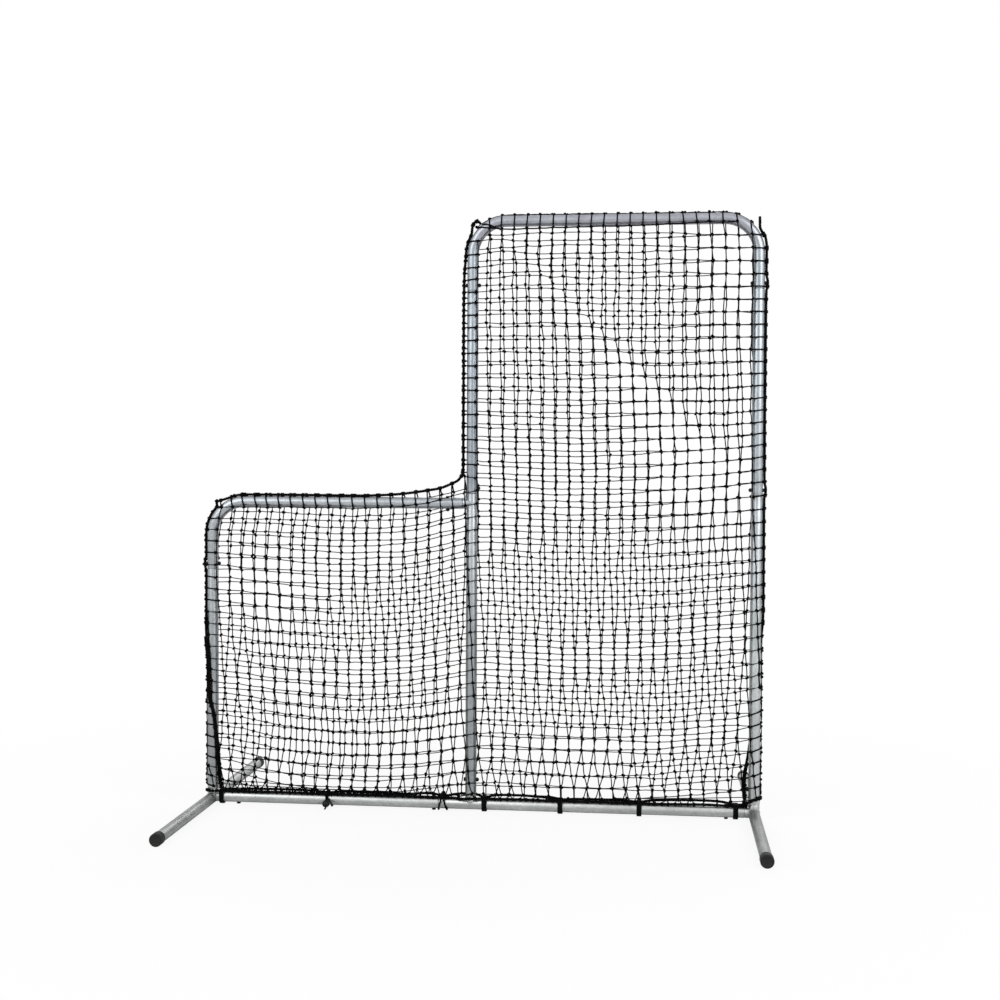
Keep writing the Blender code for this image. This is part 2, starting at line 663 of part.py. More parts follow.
# The notch rope leaves the low rail in a hollow curve. Each row is the share of the low bay's
# width and the rise above the low rail's axis as a share of the bend radius
NOTCH_RISE_SHARES = (
    (0.612, 0.205), (0.733, 0.250), (0.836, 0.372), (0.874, 0.450), (0.915, 0.580),
    (0.947, 0.700), (0.964, 0.860),
)

# Then it goes up the middle post, at these shares of the way from the low rail to the bend
NOTCH_POST_SHARES = (0.15, 0.22, 0.36, 0.66, 0.94)

# The notch rope ends over the face of the arch's bend. Each row is the turn in degrees, the
# share of the side stand-off outside the tube's axis and the share of the face stand-off
NOTCH_END_SHARES = (
    (47, 1.00, 0.00), (50, 0.97, 0.52), (53, 0.76, 0.93), (57, 0.44, 1.00),
    (66, -0.30, 1.00), (77, -0.88, 1.00),
)
CORNER_TURNS = (0, 11, 22, 33, 44)


def make_seam_ropes(material):
    """The ropes that lace the edges of the two net faces together round the L."""
    corner = Vector((LEFT_X + BEND_RADIUS, 0, LOW_Z - BEND_RADIUS))
    corner_radius = BEND_RADIUS + SIDE_STANDOFF
    points = [bend_spot(corner, turn, corner_radius, 0) for turn in reversed(CORNER_TURNS)]
    for side_share, face_share, height_share in LEFT_SWING_SHARES:
        points.append(Vector((
            LEFT_X + SIDE_STANDOFF * side_share, FACE_STANDOFF * face_share,
            LOW_BAY_HEIGHT * height_share,
        )))
    rope("seam_rope_left", smooth_route(points, ROUTE_SAMPLES), ROPE_DIAMETER, material, Y_AXIS)

    # The notch rope starts where the left rope ends
    first_turn = CORNER_TURNS[-1] + math.degrees(ROPE_END_GAP / corner_radius)
    turn_step = (90 - first_turn) / 4
    points = []
    for step in range(5):
        radius = corner_radius + (TOP_STANDOFF - SIDE_STANDOFF) * step / 4
        points.append(bend_spot(corner, first_turn + turn_step * step, radius, 0))
    for width_share, rise_share in NOTCH_RISE_SHARES:
        rise = BEND_RADIUS * rise_share
        points.append(Vector((LEFT_X + LOW_BAY_WIDTH * width_share, 0, LOW_Z + rise)))
    arch_bend = Vector((CENTER_X + BEND_RADIUS, 0, TOP_Z - BEND_RADIUS))
    for rise_share in NOTCH_POST_SHARES:
        height = LOW_Z + (arch_bend.z - LOW_Z) * rise_share
        points.append(Vector((CENTER_X - SIDE_STANDOFF, 0, height)))
    for turn in (0, 12, 24, 36):
        points.append(bend_spot(arch_bend, turn, BEND_RADIUS + SIDE_STANDOFF, 0))
    for turn, side_share, face_share in NOTCH_END_SHARES:
        radius = BEND_RADIUS + SIDE_STANDOFF * side_share
        points.append(bend_spot(arch_bend, turn, radius, -FACE_STANDOFF * face_share))
    rope("seam_rope_notch", smooth_route(points, ROUTE_SAMPLES), ROPE_DIAMETER, material, Y_AXIS)

    arch_bend = Vector((RIGHT_X - BEND_RADIUS, 0, TOP_Z - BEND_RADIUS))
    points = []
    for turn in (145, 155, 168, 180):
        points.append(bend_spot(arch_bend, turn, BEND_RADIUS + SIDE_STANDOFF, 0))
    points.insert(0, points[0] + Z_AXIS * ROPE_TAIL)
    points.append(Vector((RIGHT_X + SIDE_STANDOFF, 0, SPLICE_BOLT_Z)))
    for side_share, face_share, height_share in RIGHT_SWING_SHARES:
        points.append(Vector((
            RIGHT_X + SIDE_STANDOFF * side_share, FACE_STANDOFF * face_share,
            LOW_BAY_HEIGHT * height_share,
        )))
    rope("seam_rope_right", smooth_route(points, ROUTE_SAMPLES), ROPE_DIAMETER, material, Y_AXIS)


def make_hem_ropes(material):
    """A hem rope lies on each side of the floor rail and passes round the middle post."""
    clear = TUBE_RADIUS + ROPE_RADIUS
    rail_start = LEFT_X + clear
    rail_end = RIGHT_X - clear
    before_post = CENTER_X - STUB_SEAM - clear
    after_post = CENTER_X + STUB_SEAM + clear
    first_strap = STRAPS_X[0] + STRAP_WIDTH
    bolt_clear = HEAD_ACROSS_FLATS + STRAP_WIDTH
    post_y = TOP_STANDOFF + TOUCH_GAP
    post_strap = STRAPS_X[1]
    stretch = (
        (rail_start, HEM_Y), (first_strap, HEM_Y), (before_post - bolt_clear, HEM_Y),
        (before_post, HEM_Y), (CENTER_X - clear, post_y), (CENTER_X, post_y),
        (CENTER_X + ROPE_RADIUS, post_y), (post_strap - STRAP_WIDTH / 2, HEM_Y),
        (post_strap + STRAP_WIDTH, HEM_Y), (after_post + bolt_clear, HEM_Y), (rail_end, HEM_Y),
    )
    for name, outward in (("hem_rope_front", -1), ("hem_rope_back", 1)):
        points = [Vector((x, outward * y, HEM_Z)) for x, y in stretch]
        rope(name, smooth_route(points, ROUTE_SAMPLES), ROPE_DIAMETER, material, Z_AXIS)


def band_spots():
    """Where a band pulled tight round the rail and both hem ropes lies, and which way is out."""
    rounds = (
        (Vector((0, 0, RAIL_Z)), TUBE_RADIUS),
        (Vector((0, HEM_Y, HEM_Z)), ROPE_RADIUS),
        (Vector((0, -HEM_Y, HEM_Z)), ROPE_RADIUS),
    )
    spots = []
    for index in range(TUBE_SIDES):
        angle = 2 * math.pi * index / TUBE_SIDES
        away = Vector((0, math.cos(angle), math.sin(angle)))
        reaches = [center.dot(away) + radius for center, radius in rounds]
        for (center, radius), reach in zip(rounds, reaches):
            if math.isclose(reach, max(reaches)):
                spots.append((center + away * (radius + TOUCH_GAP), away))
    return spots


def make_straps(material):
    for number, middle in enumerate(STRAPS_X, start=1):
        name = f"hem_strap_{number}"
        left = X_AXIS * (middle - STRAP_WIDTH / 2)
        right = left + X_AXIS * STRAP_WIDTH
        bm = bmesh.new()
        loops = []
        for edge, grow in (
            (left, 0), (right, 0), (right, STRAP_THICKNESS), (left, STRAP_THICKNESS),
        ):
            loops.append([bm.verts.new(edge + spot + away * grow) for spot, away in band_spots()])
        for index, loop in enumerate(loops):
            bridge(bm, loop, loops[(index + 1) % len(loops)])
        add_object(name, mesh_from_bmesh(name, bm), material)


def make_ball_tie(cord, plastic):
    """An elastic loop round the rail and the hem ropes, held by a ball in front."""
    middle = X_AXIS * BALL_TIE_X
    grow = TIE_CORD / 2 + TOUCH_GAP
    points = [middle + spot + away * grow for spot, away in band_spots()]
    rope("ball_tie_loop", points, TIE_CORD, cord, X_AXIS, cyclic=True)

    # The ball's flat end, where the cord comes out of its hole, faces the rail
    flat_end = BALL_DIAMETER / 2 * math.cos(math.pi / BALL_RINGS)
    reach = TUBE_RADIUS + TOUCH_GAP + TIE_CORD + flat_end
    away = Vector((0, -math.cos(BALL_ANGLE), math.sin(BALL_ANGLE)))
    center = middle + Z_AXIS * RAIL_Z + away * reach
    profile = []
    for step in range(1, BALL_RINGS):
        angle = math.pi * step / BALL_RINGS
        along = -BALL_DIAMETER / 2 * math.cos(angle)
        profile.append((along, circle(BALL_DIAMETER / 2 * math.sin(angle), FASTENER_SIDES)))
    mesh = mesh_from_bmesh("ball_tie_ball", solid_profile(center, away, profile))
    add_object("ball_tie_ball", mesh, plastic)


def make_cord_tie(cord):
    """Two turns of thin cord that cross on top and spread below, as an upturned V."""
    middle = X_AXIS * CORD_TIE_X
    spots = band_spots()
    top = TUBE_SIDES // 4
    points = []
    for step in range(2 * len(spots)):
        turn = step / len(spots)
        spot, away = spots[(step + top) % len(spots)]
        lift = (TIE_CORD + TOUCH_GAP) * max(0, -math.cos(math.pi * turn)) ** 2
        shift = X_AXIS * (TIE_SPREAD * math.sin(math.pi * turn))
        points.append(middle + shift + spot + away * (TIE_CORD / 2 + TOUCH_GAP + lift))
    rope("cord_tie", points, TIE_CORD, cord, X_AXIS, cyclic=True)


def main():
    clear_scene()
    steel = make_material("galvanised steel tube", (0.56, 0.60, 0.62), 0.35, 0.9)
    black_zinc = make_material("black zinc fastener", (0.015, 0.015, 0.017), 0.45, 0.8)
    rubber = make_material("black rubber cap", (0.012, 0.012, 0.012), 0.6, 0)
    twine = make_material("black nylon twine", (0.008, 0.008, 0.009), 0.8, 0)
    lacing = make_material("black lacing rope", (0.008, 0.008, 0.008), 0.85, 0)
    webbing = make_material("black webbing", (0.010, 0.010, 0.011), 0.75, 0)
    plastic = make_material("black moulded ball", (0.02, 0.02, 0.02), 0.4, 0)
    make_feet(steel)
    make_floor_rail(steel)
    make_posts(steel)
    make_top_arch(steel)
    make_low_corner_rail(steel)
    for name, center, head_side in bolt_places():
        make_bolt(f"bolt_{name}", center, head_side, black_zinc)
        make_cap_nut(f"nut_{name}", center, -head_side, black_zinc)
    make_end_caps(rubber)
    make_nets(twine)
    make_seam_ropes(lacing)
    make_hem_ropes(lacing)
    make_straps(webbing)
    make_ball_tie(lacing, plastic)
    make_cord_tie(lacing)


main()
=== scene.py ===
"""Baseball L screen, dressed for its pictures.

A frame of galvanised tube with black bolts and rubber end caps carries a pillowcase of knotted
nylon net. The net is laced at its edges to ropes, and its hem is tied to the floor rail.
Metres, +Z up, X along the screen and -Y towards the side seen in the photograph.
"""
import math
import random

import bmesh
import bpy
from mathutils import Matrix, Vector


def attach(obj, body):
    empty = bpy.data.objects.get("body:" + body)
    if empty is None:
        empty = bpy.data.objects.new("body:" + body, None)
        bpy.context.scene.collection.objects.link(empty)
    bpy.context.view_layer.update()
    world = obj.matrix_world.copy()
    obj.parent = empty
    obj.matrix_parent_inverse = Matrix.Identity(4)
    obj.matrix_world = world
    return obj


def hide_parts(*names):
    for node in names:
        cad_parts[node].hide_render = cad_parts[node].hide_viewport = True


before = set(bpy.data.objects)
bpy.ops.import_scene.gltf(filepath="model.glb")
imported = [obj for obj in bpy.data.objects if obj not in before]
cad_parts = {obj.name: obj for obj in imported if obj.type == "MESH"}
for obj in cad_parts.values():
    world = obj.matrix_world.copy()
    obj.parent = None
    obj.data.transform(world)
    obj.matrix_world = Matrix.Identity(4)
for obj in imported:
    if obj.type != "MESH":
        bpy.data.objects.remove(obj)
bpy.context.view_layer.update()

# Camera fitted to the tube axes, for a square picture
CAMERA_PLACE = (0.62172, -5.03754, 1.25977)
CAMERA_YAW = math.radians(6.197)
CAMERA_PITCH = math.radians(-1.559)
CAMERA_ROLL = math.radians(0.287)
CAMERA_LENS = 51.0188
CAMERA_SENSOR = 36.0

# All lengths are in metres. The frame's own sizes, as its solids have them
TUBE_RADIUS = 0.020
BORE_RADIUS = 0.0184
SPIGOT_RADIUS = 0.0180
SPIGOT_BORE = 0.0164
SPIGOT_LENGTH = 0.040
SWAGE_LENGTH = 0.003
EASED_EDGE = 0.0004
BEND_RADIUS = 0.120
TOUCH_GAP = 0.0003
# A welded stub: from the middle of its carrier to the seam, from there to the bolt of a post or
# of the floor rail, and from the bolt to the spigot's end
STUB_SEAM = 0.033
POST_STUB_BOLT = 0.055
RAIL_STUB_BOLT = 0.064
SPIGOT_TAIL = 0.022

# Where the tubes' middle lines, their seams and their bolts are
LEFT_X = -0.981
RIGHT_X = 0.981
CENTER_X = -0.026
FOOT_Z = 0.02225
RAIL_Z = 0.02625
LOW_Z = 1.109
TOP_Z = 2.114
FOOT_BOLT_Z = 0.11025
RAIL_POST_BOLT_Z = 0.11425
CORNER_SEAM_Z = 0.864
CORNER_BOLT_Z = 0.882
SPLICE_SEAM_Z = 1.1453
SPLICE_BOLT_Z = 1.1633
ARCH_SEAM_Z = 1.869
ARCH_BOLT_Z = 1.887
RAIL_SEAM_X = -0.142
RAIL_SPLICE_X = -0.160
RAIL_BOLT_X = 0.884
LOW_RAIL_BOLT_X = -0.114

# Feet and their end caps
FOOT_SPAN = 1.219
CAP_RADIUS = 0.02225
CAP_LENGTH = 0.035
CAP_END = 0.003

# The diameter of the net's twine between knots, where it hangs down, and at the net's edge
TWINE = 0.0034
HANGING_TWINE = 0.0041
EDGE_TWINE = 0.0054
# How far the net's faces stand off the tubes' middle plane
NET_FACE = 0.0217
# Meshes by column from the left post and by row from the arch
FIRST_COLUMN = -4
LAST_COLUMN = 46
LAST_ROW = 47
POST_COLUMN = 21
LOWEST_KNOT = 0.060
# A last knot below the first height is tied to the hem, and below the second by two strands
HEM_REACH = 0.135
HEM_MESH = 0.088

# Radii of the ropes, and the length in which their strands go round once
SEAM_ROPE = 0.0054
HEM_ROPE = 0.0052
ROPE_LAY = 0.024
# How far a rope's middle line is from a tube's: over a bolt, on the tube, along the notch, and
# round the foot of the middle post
SIDE_STANDOFF = 0.0299
SNUG_STANDOFF = 0.0256
NOTCH_STANDOFF = 0.0325
TOP_STANDOFF = 0.0243
# The hem ropes beside the floor rail, and how far they are above their solids
HEM_Y = 0.01215
HEM_Z = 0.0473
HEM_RISE = 0.0011

# Straps and ties along the floor rail
STRAPS_X = (-0.9437, 0.0240, 0.2970, 0.5780, 0.9170)
STRAP_WIDTH = 0.0175
STRAP_SAG = 0.0024
BALL_TIE_X = -0.5510
CORD_TIE_X = -0.1270

# Faces round a turned form or a tube, and steps round a band
ROUND_SIDES = 48
BAND_STEPS = 48

X_AXIS = Vector((1, 0, 0))
Y_AXIS = Vector((0, 1, 0))
Z_AXIS = Vector((0, 0, 1))
LOW_BEND = Vector((LEFT_X + BEND_RADIUS, 0, LOW_Z - BEND_RADIUS))
ARCH_LEFT_BEND = Vector((CENTER_X + BEND_RADIUS, 0, TOP_Z - BEND_RADIUS))
ARCH_RIGHT_BEND = Vector((RIGHT_X - BEND_RADIUS, 0, TOP_Z - BEND_RADIUS))

# Noise patterns keep mostly to this part of 0 to 1
NOISE_SPAN = {"From Min": 0.3, "From Max": 0.7}


def linear_colour(hex_code):
    """An sRGB hex value as the linear colour that a shader takes."""
    channels = []
    for start in (0, 2, 4):
        value = int(hex_code[start:start + 2], 16) / 255
        channels.append(value / 12.92 if value <= 0.04045 else ((value + 0.055) / 1.055) ** 2.4)
    return (*channels, 1.0)


def add_node(tree, kind, inputs=None, stops=(), **settings):
    """Add a node with its inputs, colour stops and settings.

    An input is a value, a socket, or a node whose first output is meant. Stops are (place, sRGB
    hex): the lowest and the highest place first, and then those between.
    """
    node = tree.nodes.new(kind)
    for name, value in settings.items():
        setattr(node, name, value)
    for index, (place, hex_code) in enumerate(stops):
        elements = node.color_ramp.elements
        stop = elements[index] if index < 2 else elements.new(place)
        stop.position = place
        stop.color = linear_colour(hex_code)
    for name, value in (inputs or {}).items():
        source = value.outputs[0] if isinstance(value, bpy.types.Node) else value
        if isinstance(source, bpy.types.NodeSocket):
            tree.links.new(source, node.inputs[name])
        else:
            node.inputs[name].default_value = value
    return node


def new_finish(name):
    """An empty material: its tree, its shader, and the object's own coordinates in metres."""
    finish = bpy.data.materials.new(name)
    finish.use_nodes = True
    tree = finish.node_tree
    place = add_node(tree, "ShaderNodeTexCoord")
    return finish, tree, tree.nodes["Principled BSDF"], place.outputs["Object"]


def dress_shader(tree, shader, colour, rough, bump, **values):
    """Link a finish's colour, roughness and bump to its shader, and set its plain values."""
    for name, source in (("Base Color", colour), ("Roughness", rough), ("Normal", bump)):
        tree.links.new(source.outputs[0], shader.inputs[name])
    for name, value in values.items():
        shader.inputs[name.replace("_", " ")].default_value = value


def worn_skin(name, grain, wear, stops, rough, bump, **values):
    """The finish of a plated or moulded piece.

    Its grain stands out, and its wear in patches changes colour and roughness. Both hold a size
    in metres and the noise's detail. Where there is no grain, the wear stands out itself.
    """
    finish, tree, shader, place = new_finish(name)
    patches = add_node(tree, "ShaderNodeTexNoise", {
        "Vector": place, "Scale": 1 / wear[0], "Detail": wear[1], "Roughness": 0.7})
    fine = patches
    if grain:
        fine = add_node(tree, "ShaderNodeTexNoise", {
            "Vector": place, "Scale": 1 / grain[0], "Detail": grain[1]})
    colour = add_node(tree, "ShaderNodeValToRGB", {"Fac": patches}, stops)
    gloss = add_node(tree, "ShaderNodeMapRange", {
        **NOISE_SPAN, "Value": patches, "To Min": rough[0], "To Max": rough[1]})
    relief = add_node(tree, "ShaderNodeBump", {
        "Height": fine, "Strength": bump[0], "Distance": bump[1]})
    dress_shader(tree, shader, colour, gloss, relief, **values)
    return finish


def dyed_textile(parts, thread, fade, stops, shade, rough, bump, specular, fibrous=False):
    """The finish of a dyed textile, from its parts and its thread pattern.

    The threads shade the dye and stand out, and the dye fades in patches of the size given. The
    roughness follows the threads of a fibrous one, and the patches of any other.
    """
    finish, tree, shader, place = parts
    patches = add_node(tree, "ShaderNodeTexNoise", {
        "Vector": place, "Scale": 1 / fade, "Detail": 4.0})
    dye = add_node(tree, "ShaderNodeValToRGB", {"Fac": patches}, stops)
    light = add_node(tree, "ShaderNodeMapRange", {
        **(NOISE_SPAN if fibrous else {}), "Value": thread, "To Min": shade[0], "To Max": shade[1]})
    colour = add_node(
        tree, "ShaderNodeVectorMath", {"Vector": dye, "Scale": light}, operation="SCALE")
    gloss = add_node(tree, "ShaderNodeMapRange", {
        **NOISE_SPAN, "Value": thread if fibrous else patches,
        "To Min": rough[0], "To Max": rough[1]})
    relief = add_node(tree, "ShaderNodeBump", {
        "Height": thread, "Strength": bump[0], "Distance": bump[1]})
    dress_shader(tree, shader, colour, gloss, relief, Specular_IOR_Level=specular)
    return finish


def galvanised_steel():
    """Steel tube, hot-dip galvanised before it was formed and welded.

    The eye sees a pale satin grey with soft zinc spangle, fine lengthwise streaks from the
    tube mill, highlights that run with the tube, and a brown stain below one splice. Painted
    light and shade are in it too: the colour is lighter and darker by height and lighter on the
    right post, and glancing reflections are tinted darker.
    """
    finish, tree, shader, place = new_finish("galvanised_steel_tube")
    along = add_node(tree, "ShaderNodeUVMap", uv_map="round_and_along")
    # Spangle of 9 mm crystals, and streaks 3 mm wide and 120 mm long
    spangle = add_node(tree, "ShaderNodeTexVoronoi", {"Vector": place, "Scale": 1 / 0.009})
    stretch = add_node(tree, "ShaderNodeMapping", {
        "Vector": along, "Scale": (1 / 0.0030, 1 / 0.120, 1)})
    streaks = add_node(tree, "ShaderNodeTexNoise", {
        "Vector": stretch, "Scale": 1.0, "Detail": 4.0, "Roughness": 0.6})
    patches = add_node(tree, "ShaderNodeTexNoise", {
        "Vector": place, "Scale": 1 / 0.10, "Detail": 5.0, "Roughness": 0.65})
    # Painted light and shade by height: the feet and floor rail are painted lighter and the posts
    # darker, with a lighter band at the low rail and a little blue at the arch
    height = add_node(tree, "ShaderNodeSeparateXYZ", {"Vector": place})
    tall = add_node(tree, "ShaderNodeMapRange", {
        "Value": height.outputs["Z"], "From Max": TOP_Z + TUBE_RADIUS})
    # This ramp is painted light and shade by height
    zinc = add_node(tree, "ShaderNodeValToRGB", {"Fac": tall}, (
        (0.020, "BCBFBE"), (0.975, "AAACB4"), (0.040, "9DA1A3"), (0.30, "9A9FA1"),
        (0.505, "B6BBBF"), (0.560, "949BA2"), (0.930, "9EA6AC"),
    ))
    # Painted light: the right post is painted lighter than the other two, as if lit from its right
    rightward = add_node(tree, "ShaderNodeMapRange", {
        "Value": height.outputs["X"], "From Min": 0.90, "From Max": 0.955})
    right_post_painted_light = add_node(tree, "ShaderNodeValToRGB", {"Fac": tall}, (
        (0.030, "BCBFBE"), (0.975, "AAACB4"), (0.060, "BFC3C4"), (0.20, "BEC2C4"),
        (0.32, "B5BABC"), (0.505, "B8BDC1"), (0.560, "A9B0B5"), (0.930, "A3AAAF"),
    ))
    painted_light_zinc = add_node(tree, "ShaderNodeMix", {
        "Factor": rightward, 6: zinc, 7: right_post_painted_light}, data_type="RGBA")
    # Rust that has run from the right post's splice
    reach = add_node(tree, "ShaderNodeVectorMath", {
        0: place, 1: (RIGHT_X, -TUBE_RADIUS, SPLICE_SEAM_Z - 0.006)}, operation="DISTANCE")
    near = add_node(tree, "ShaderNodeMapRange", {
        "Value": reach.outputs["Value"], "From Min": 0.004, "From Max": 0.022,
        "To Min": 0.25, "To Max": 0.0})
    rust = add_node(tree, "ShaderNodeValToRGB", {"Fac": patches}, (
        (0.40, "7D6A45"), (0.62, "A08C62"),
    ))
    # The right post's painted light goes on under the rust
    base = add_node(tree, "ShaderNodeMix", {
        "Factor": near, 6: painted_light_zinc.outputs[2], 7: rust}, data_type="RGBA")
    # Spangle, streaks and patches each make the zinc a little lighter or darker
    flecks = add_node(tree, "ShaderNodeSeparateColor", {"Color": spangle.outputs["Color"]})
    facet = add_node(tree, "ShaderNodeMapRange", {
        "Value": flecks.outputs["Red"], "To Min": 0.91, "To Max": 1.06})
    streak = add_node(tree, "ShaderNodeMapRange", {
        **NOISE_SPAN, "Value": streaks, "To Min": 0.90, "To Max": 1.07})
    patch = add_node(tree, "ShaderNodeMapRange", {
        **NOISE_SPAN, "Value": patches, "To Min": 0.88, "To Max": 1.08})
    shade = add_node(tree, "ShaderNodeMath", {0: facet, 1: streak}, operation="MULTIPLY")
    whole = add_node(tree, "ShaderNodeMath", {0: shade, 1: patch}, operation="MULTIPLY")
    colour = add_node(tree, "ShaderNodeVectorMath", {
        "Vector": base.outputs[2], "Scale": whole}, operation="SCALE")
    rough = add_node(tree, "ShaderNodeMapRange", {
        **NOISE_SPAN, "Value": patches, "To Min": 0.30, "To Max": 0.46})
    grain = add_node(tree, "ShaderNodeBump", {
        "Height": streaks, "Strength": 0.25, "Distance": 0.0003})
    dents = add_node(tree, "ShaderNodeBump", {
        "Height": patches, "Normal": grain, "Strength": 0.15, "Distance": 0.0008})
    # The grey specular tint darkens glancing reflections, as painted shade on the tubes' edges and
    # on faces seen at a glancing angle
    dress_shader(tree, shader, colour, rough, dents, Metallic=0.95,
                 Specular_Tint=linear_colour("B0B0B0"))
    return finish


def black_zinc():
    """Steel bolts and cap nuts, plated with black zinc.

    The eye sees a deep grey black with a soft metal sheen and paler worn corners.
    """
    # Plating grain of 1 mm and wear in patches of 6 mm
    return worn_skin(
        "black_zinc_plated_steel", (0.001, 3.0), (0.006, 4.0),
        ((0.35, "18191B"), (0.80, "454748"), (0.60, "242628")), (0.34, 0.55), (0.3, 0.0002),
        Metallic=0.8)


def moulded_rubber():
    """End caps of natural rubber, moulded with carbon black.

    The eye sees a flat black with a dusty bloom and scuffs where the cap meets the ground.
    """
    # Moulding grain of 1.2 mm and dust in patches of 15 mm
    return worn_skin(
        "moulded_black_rubber", (0.0012, 2.0), (0.015, 5.0),
        ((0.35, "131313"), (0.80, "353330"), (0.60, "1D1C1B")), (0.55, 0.80), (0.35, 0.0003),
        Specular_IOR_Level=0.3)


def knotted_nylon():
    """Net twine of twisted nylon, dyed black and dipped in bonding tar.

    The eye sees thin black lines with the slant of the twist and tight, darker knots.
    """
    parts = new_finish("knotted_black_nylon_twine")
    _, tree, _, place = parts
    # Strands of the twine are 1 mm wide, drawn at 2 mm so that they show
    yarn = add_node(tree, "ShaderNodeTexWave", {
        "Vector": place, "Scale": 1 / 0.012, "Distortion": 1.5, "Detail": 2.0},
        wave_type="BANDS", bands_direction="DIAGONAL")
    return dyed_textile(
        parts, yarn.outputs["Fac"], 0.04, ((0.32, "060607"), (0.75, "161618"), (0.55, "0C0C0D")),
        (0.7, 1.3), (0.60, 0.85), (0.5, 0.0003), 0.015)


def laid_rope():
    """Polypropylene rope of three strands, twisted and black.

    The eye sees a soft black with fine slanted fibres and a slight dusty fade on top.
    """
    parts = new_finish("laid_black_polypropylene_rope")
    tree = parts[1]
    along = add_node(tree, "ShaderNodeUVMap", uv_map="round_and_along")
    # Fibres are far finer than a picture shows, so they are drawn 0.8 mm wide and 10 mm long
    slant = add_node(tree, "ShaderNodeMapping", {
        "Vector": along, "Rotation": (0, 0, math.radians(20)), "Scale": (1 / 0.0008, 1 / 0.010, 1)})
    fibres = add_node(tree, "ShaderNodeTexNoise", {"Vector": slant, "Scale": 1.0, "Detail": 3.0})
    return dyed_textile(
        parts, fibres, 0.03, ((0.32, "070707"), (0.76, "171718"), (0.55, "0D0D0D")),
        (0.7, 1.35), (0.65, 0.9), (0.6, 0.0004), 0.03, fibrous=True)


def woven_webbing():
    """Straps of polyester webbing, woven and black, with sewn ends.

    The eye sees a fine even weave across the strap, a low sheen, and slightly greyed edges.
    """
    parts = new_finish("woven_black_polyester_webbing")
    tree = parts[1]
    along = add_node(tree, "ShaderNodeUVMap", uv_map="round_and_along")
    # Ribs of the weave are 1.2 mm apart across the strap and 1.6 mm apart along it. A wave of
    # scale 1 repeats 20 times in a unit of the pattern's space
    ribs, picks = (
        add_node(tree, "ShaderNodeTexWave", {"Vector": along, "Scale": 1 / (pitch * 20)},
                 wave_type="BANDS", bands_direction=way)
        for pitch, way in ((1.2e-3, "X"), (1.6e-3, "Y"))
    )
    weave = add_node(tree, "ShaderNodeMath", {
        0: ribs.outputs["Fac"], 1: picks.outputs["Fac"]}, operation="MULTIPLY")
    return dyed_textile(
        parts, weave, 0.012, ((0.35, "08080A"), (0.75, "161618"), (0.55, "0D0D0F")),
        (0.65, 1.3), (0.6, 0.8), (0.6, 0.0004), 0.04)


def moulded_ball():
    """The tie's ball of polyethylene, moulded in black.

    The eye sees a smooth black with a satin highlight and a few fine scuffs.
    """
    # Scuffs of 3 mm over a smooth moulding
    return worn_skin(
        "moulded_black_polyethylene", None, (0.003, 5.0),
        ((0.40, "0F1011"), (0.80, "252628"), (0.62, "151617")), (0.32, 0.5), (0.15, 0.0002),
        Specular_IOR_Level=0.2)


class Mould:
    """Corner points, faces and the place of each face corner on its tube's skin."""

    def __init__(self):
        self.spots = []
        self.faces = []
        self.skin = []

    def add_ring(self, center, side, up, radii):
        first = len(self.spots)
        count = len(radii)
        for index, radius in enumerate(radii):
            angle = 2 * math.pi * index / count
            self.spots.append(
                center + side * (radius * math.cos(angle)) + up * (radius * math.sin(angle))
            )
        return first, count

    def join_rings(self, one, two, near, far, girth):
        """Faces between two rings, at the distances near and far along the tube."""
        (first, count), (second, _) = one, two
        for index in range(count):
            after = (index + 1) % count
            self.faces.append((first + index, first + after, second + after, second + index))
            left = girth * index / count
            right = girth * (index + 1) / count
            self.skin.append(((left, near), (right, near), (right, far), (left, far)))

    def close_ring(self, one):
        first, count = one
        self.faces.append(tuple(first + index for index in range(count)))
        self.skin.append(tuple((0.001 * index, 0) for index in range(count)))


def finished_piece(name, mould, finish, node, smooth_angle=40):
    """Make the object, turn its faces outward and hand it to the frame."""
    mesh = bpy.data.meshes.new(name)
    mesh.from_pydata([tuple(spot) for spot in mould.spots], [], mould.faces)
    layer = mesh.uv_layers.new(name="round_and_along")
    flat = [part for face in mould.skin for corner in face for part in corner]
    layer.data.foreach_set("uv", flat)
    bm = bmesh.new()
    bm.from_mesh(mesh)
    bmesh.ops.recalc_face_normals(bm, faces=bm.faces)
    bm.to_mesh(mesh)
    bm.free()
    mesh.shade_smooth()
    mesh.set_sharp_from_angle(angle=math.radians(smooth_angle))
    piece = bpy.data.objects.new(name, mesh)
    bpy.context.scene.collection.objects.link(piece)
    mesh.materials.append(finish)
    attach(piece, "root")
    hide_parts(node)


def axis_frame(axis):
    """Two directions square to an axis."""
    guide = Y_AXIS if abs(axis.y) < abs(axis.x) + abs(axis.z) else Z_AXIS
    side = (guide - axis * guide.dot(axis)).normalized()
    return side, axis.cross(side)


def turned_form(mould, start, axis, profile, closed=True):
    """A turned form: profile holds (distance along the axis, radius), or a list of radii."""
    side, up = axis_frame(axis)
    rows = [(along, radius if isinstance(radius, list) else [radius] * ROUND_SIDES)
            for along, radius in profile]
    rings = [mould.add_ring(start + axis * along, side, up, radii) for along, radii in rows]
    walked = 0
    for one, two, (along, low), (after, high) in zip(rings, rings[1:], rows, rows[1:]):
        step = math.hypot(after - along, high[0] - low[0])
        girth = 2 * math.pi * max(low[0], high[0])
        mould.join_rings(one, two, walked, walked + step, girth)
        walked += step
    if closed:
        mould.close_ring(rings[0])
        mould.close_ring(rings[-1])
    else:
        mould.join_rings(rings[-1], rings[0], walked, walked + 0.002, 0.1)


def heading_at(route, index):
    """The direction of a route at one of its inner points."""
    return (route[index + 1] - route[index - 1]).normalized()


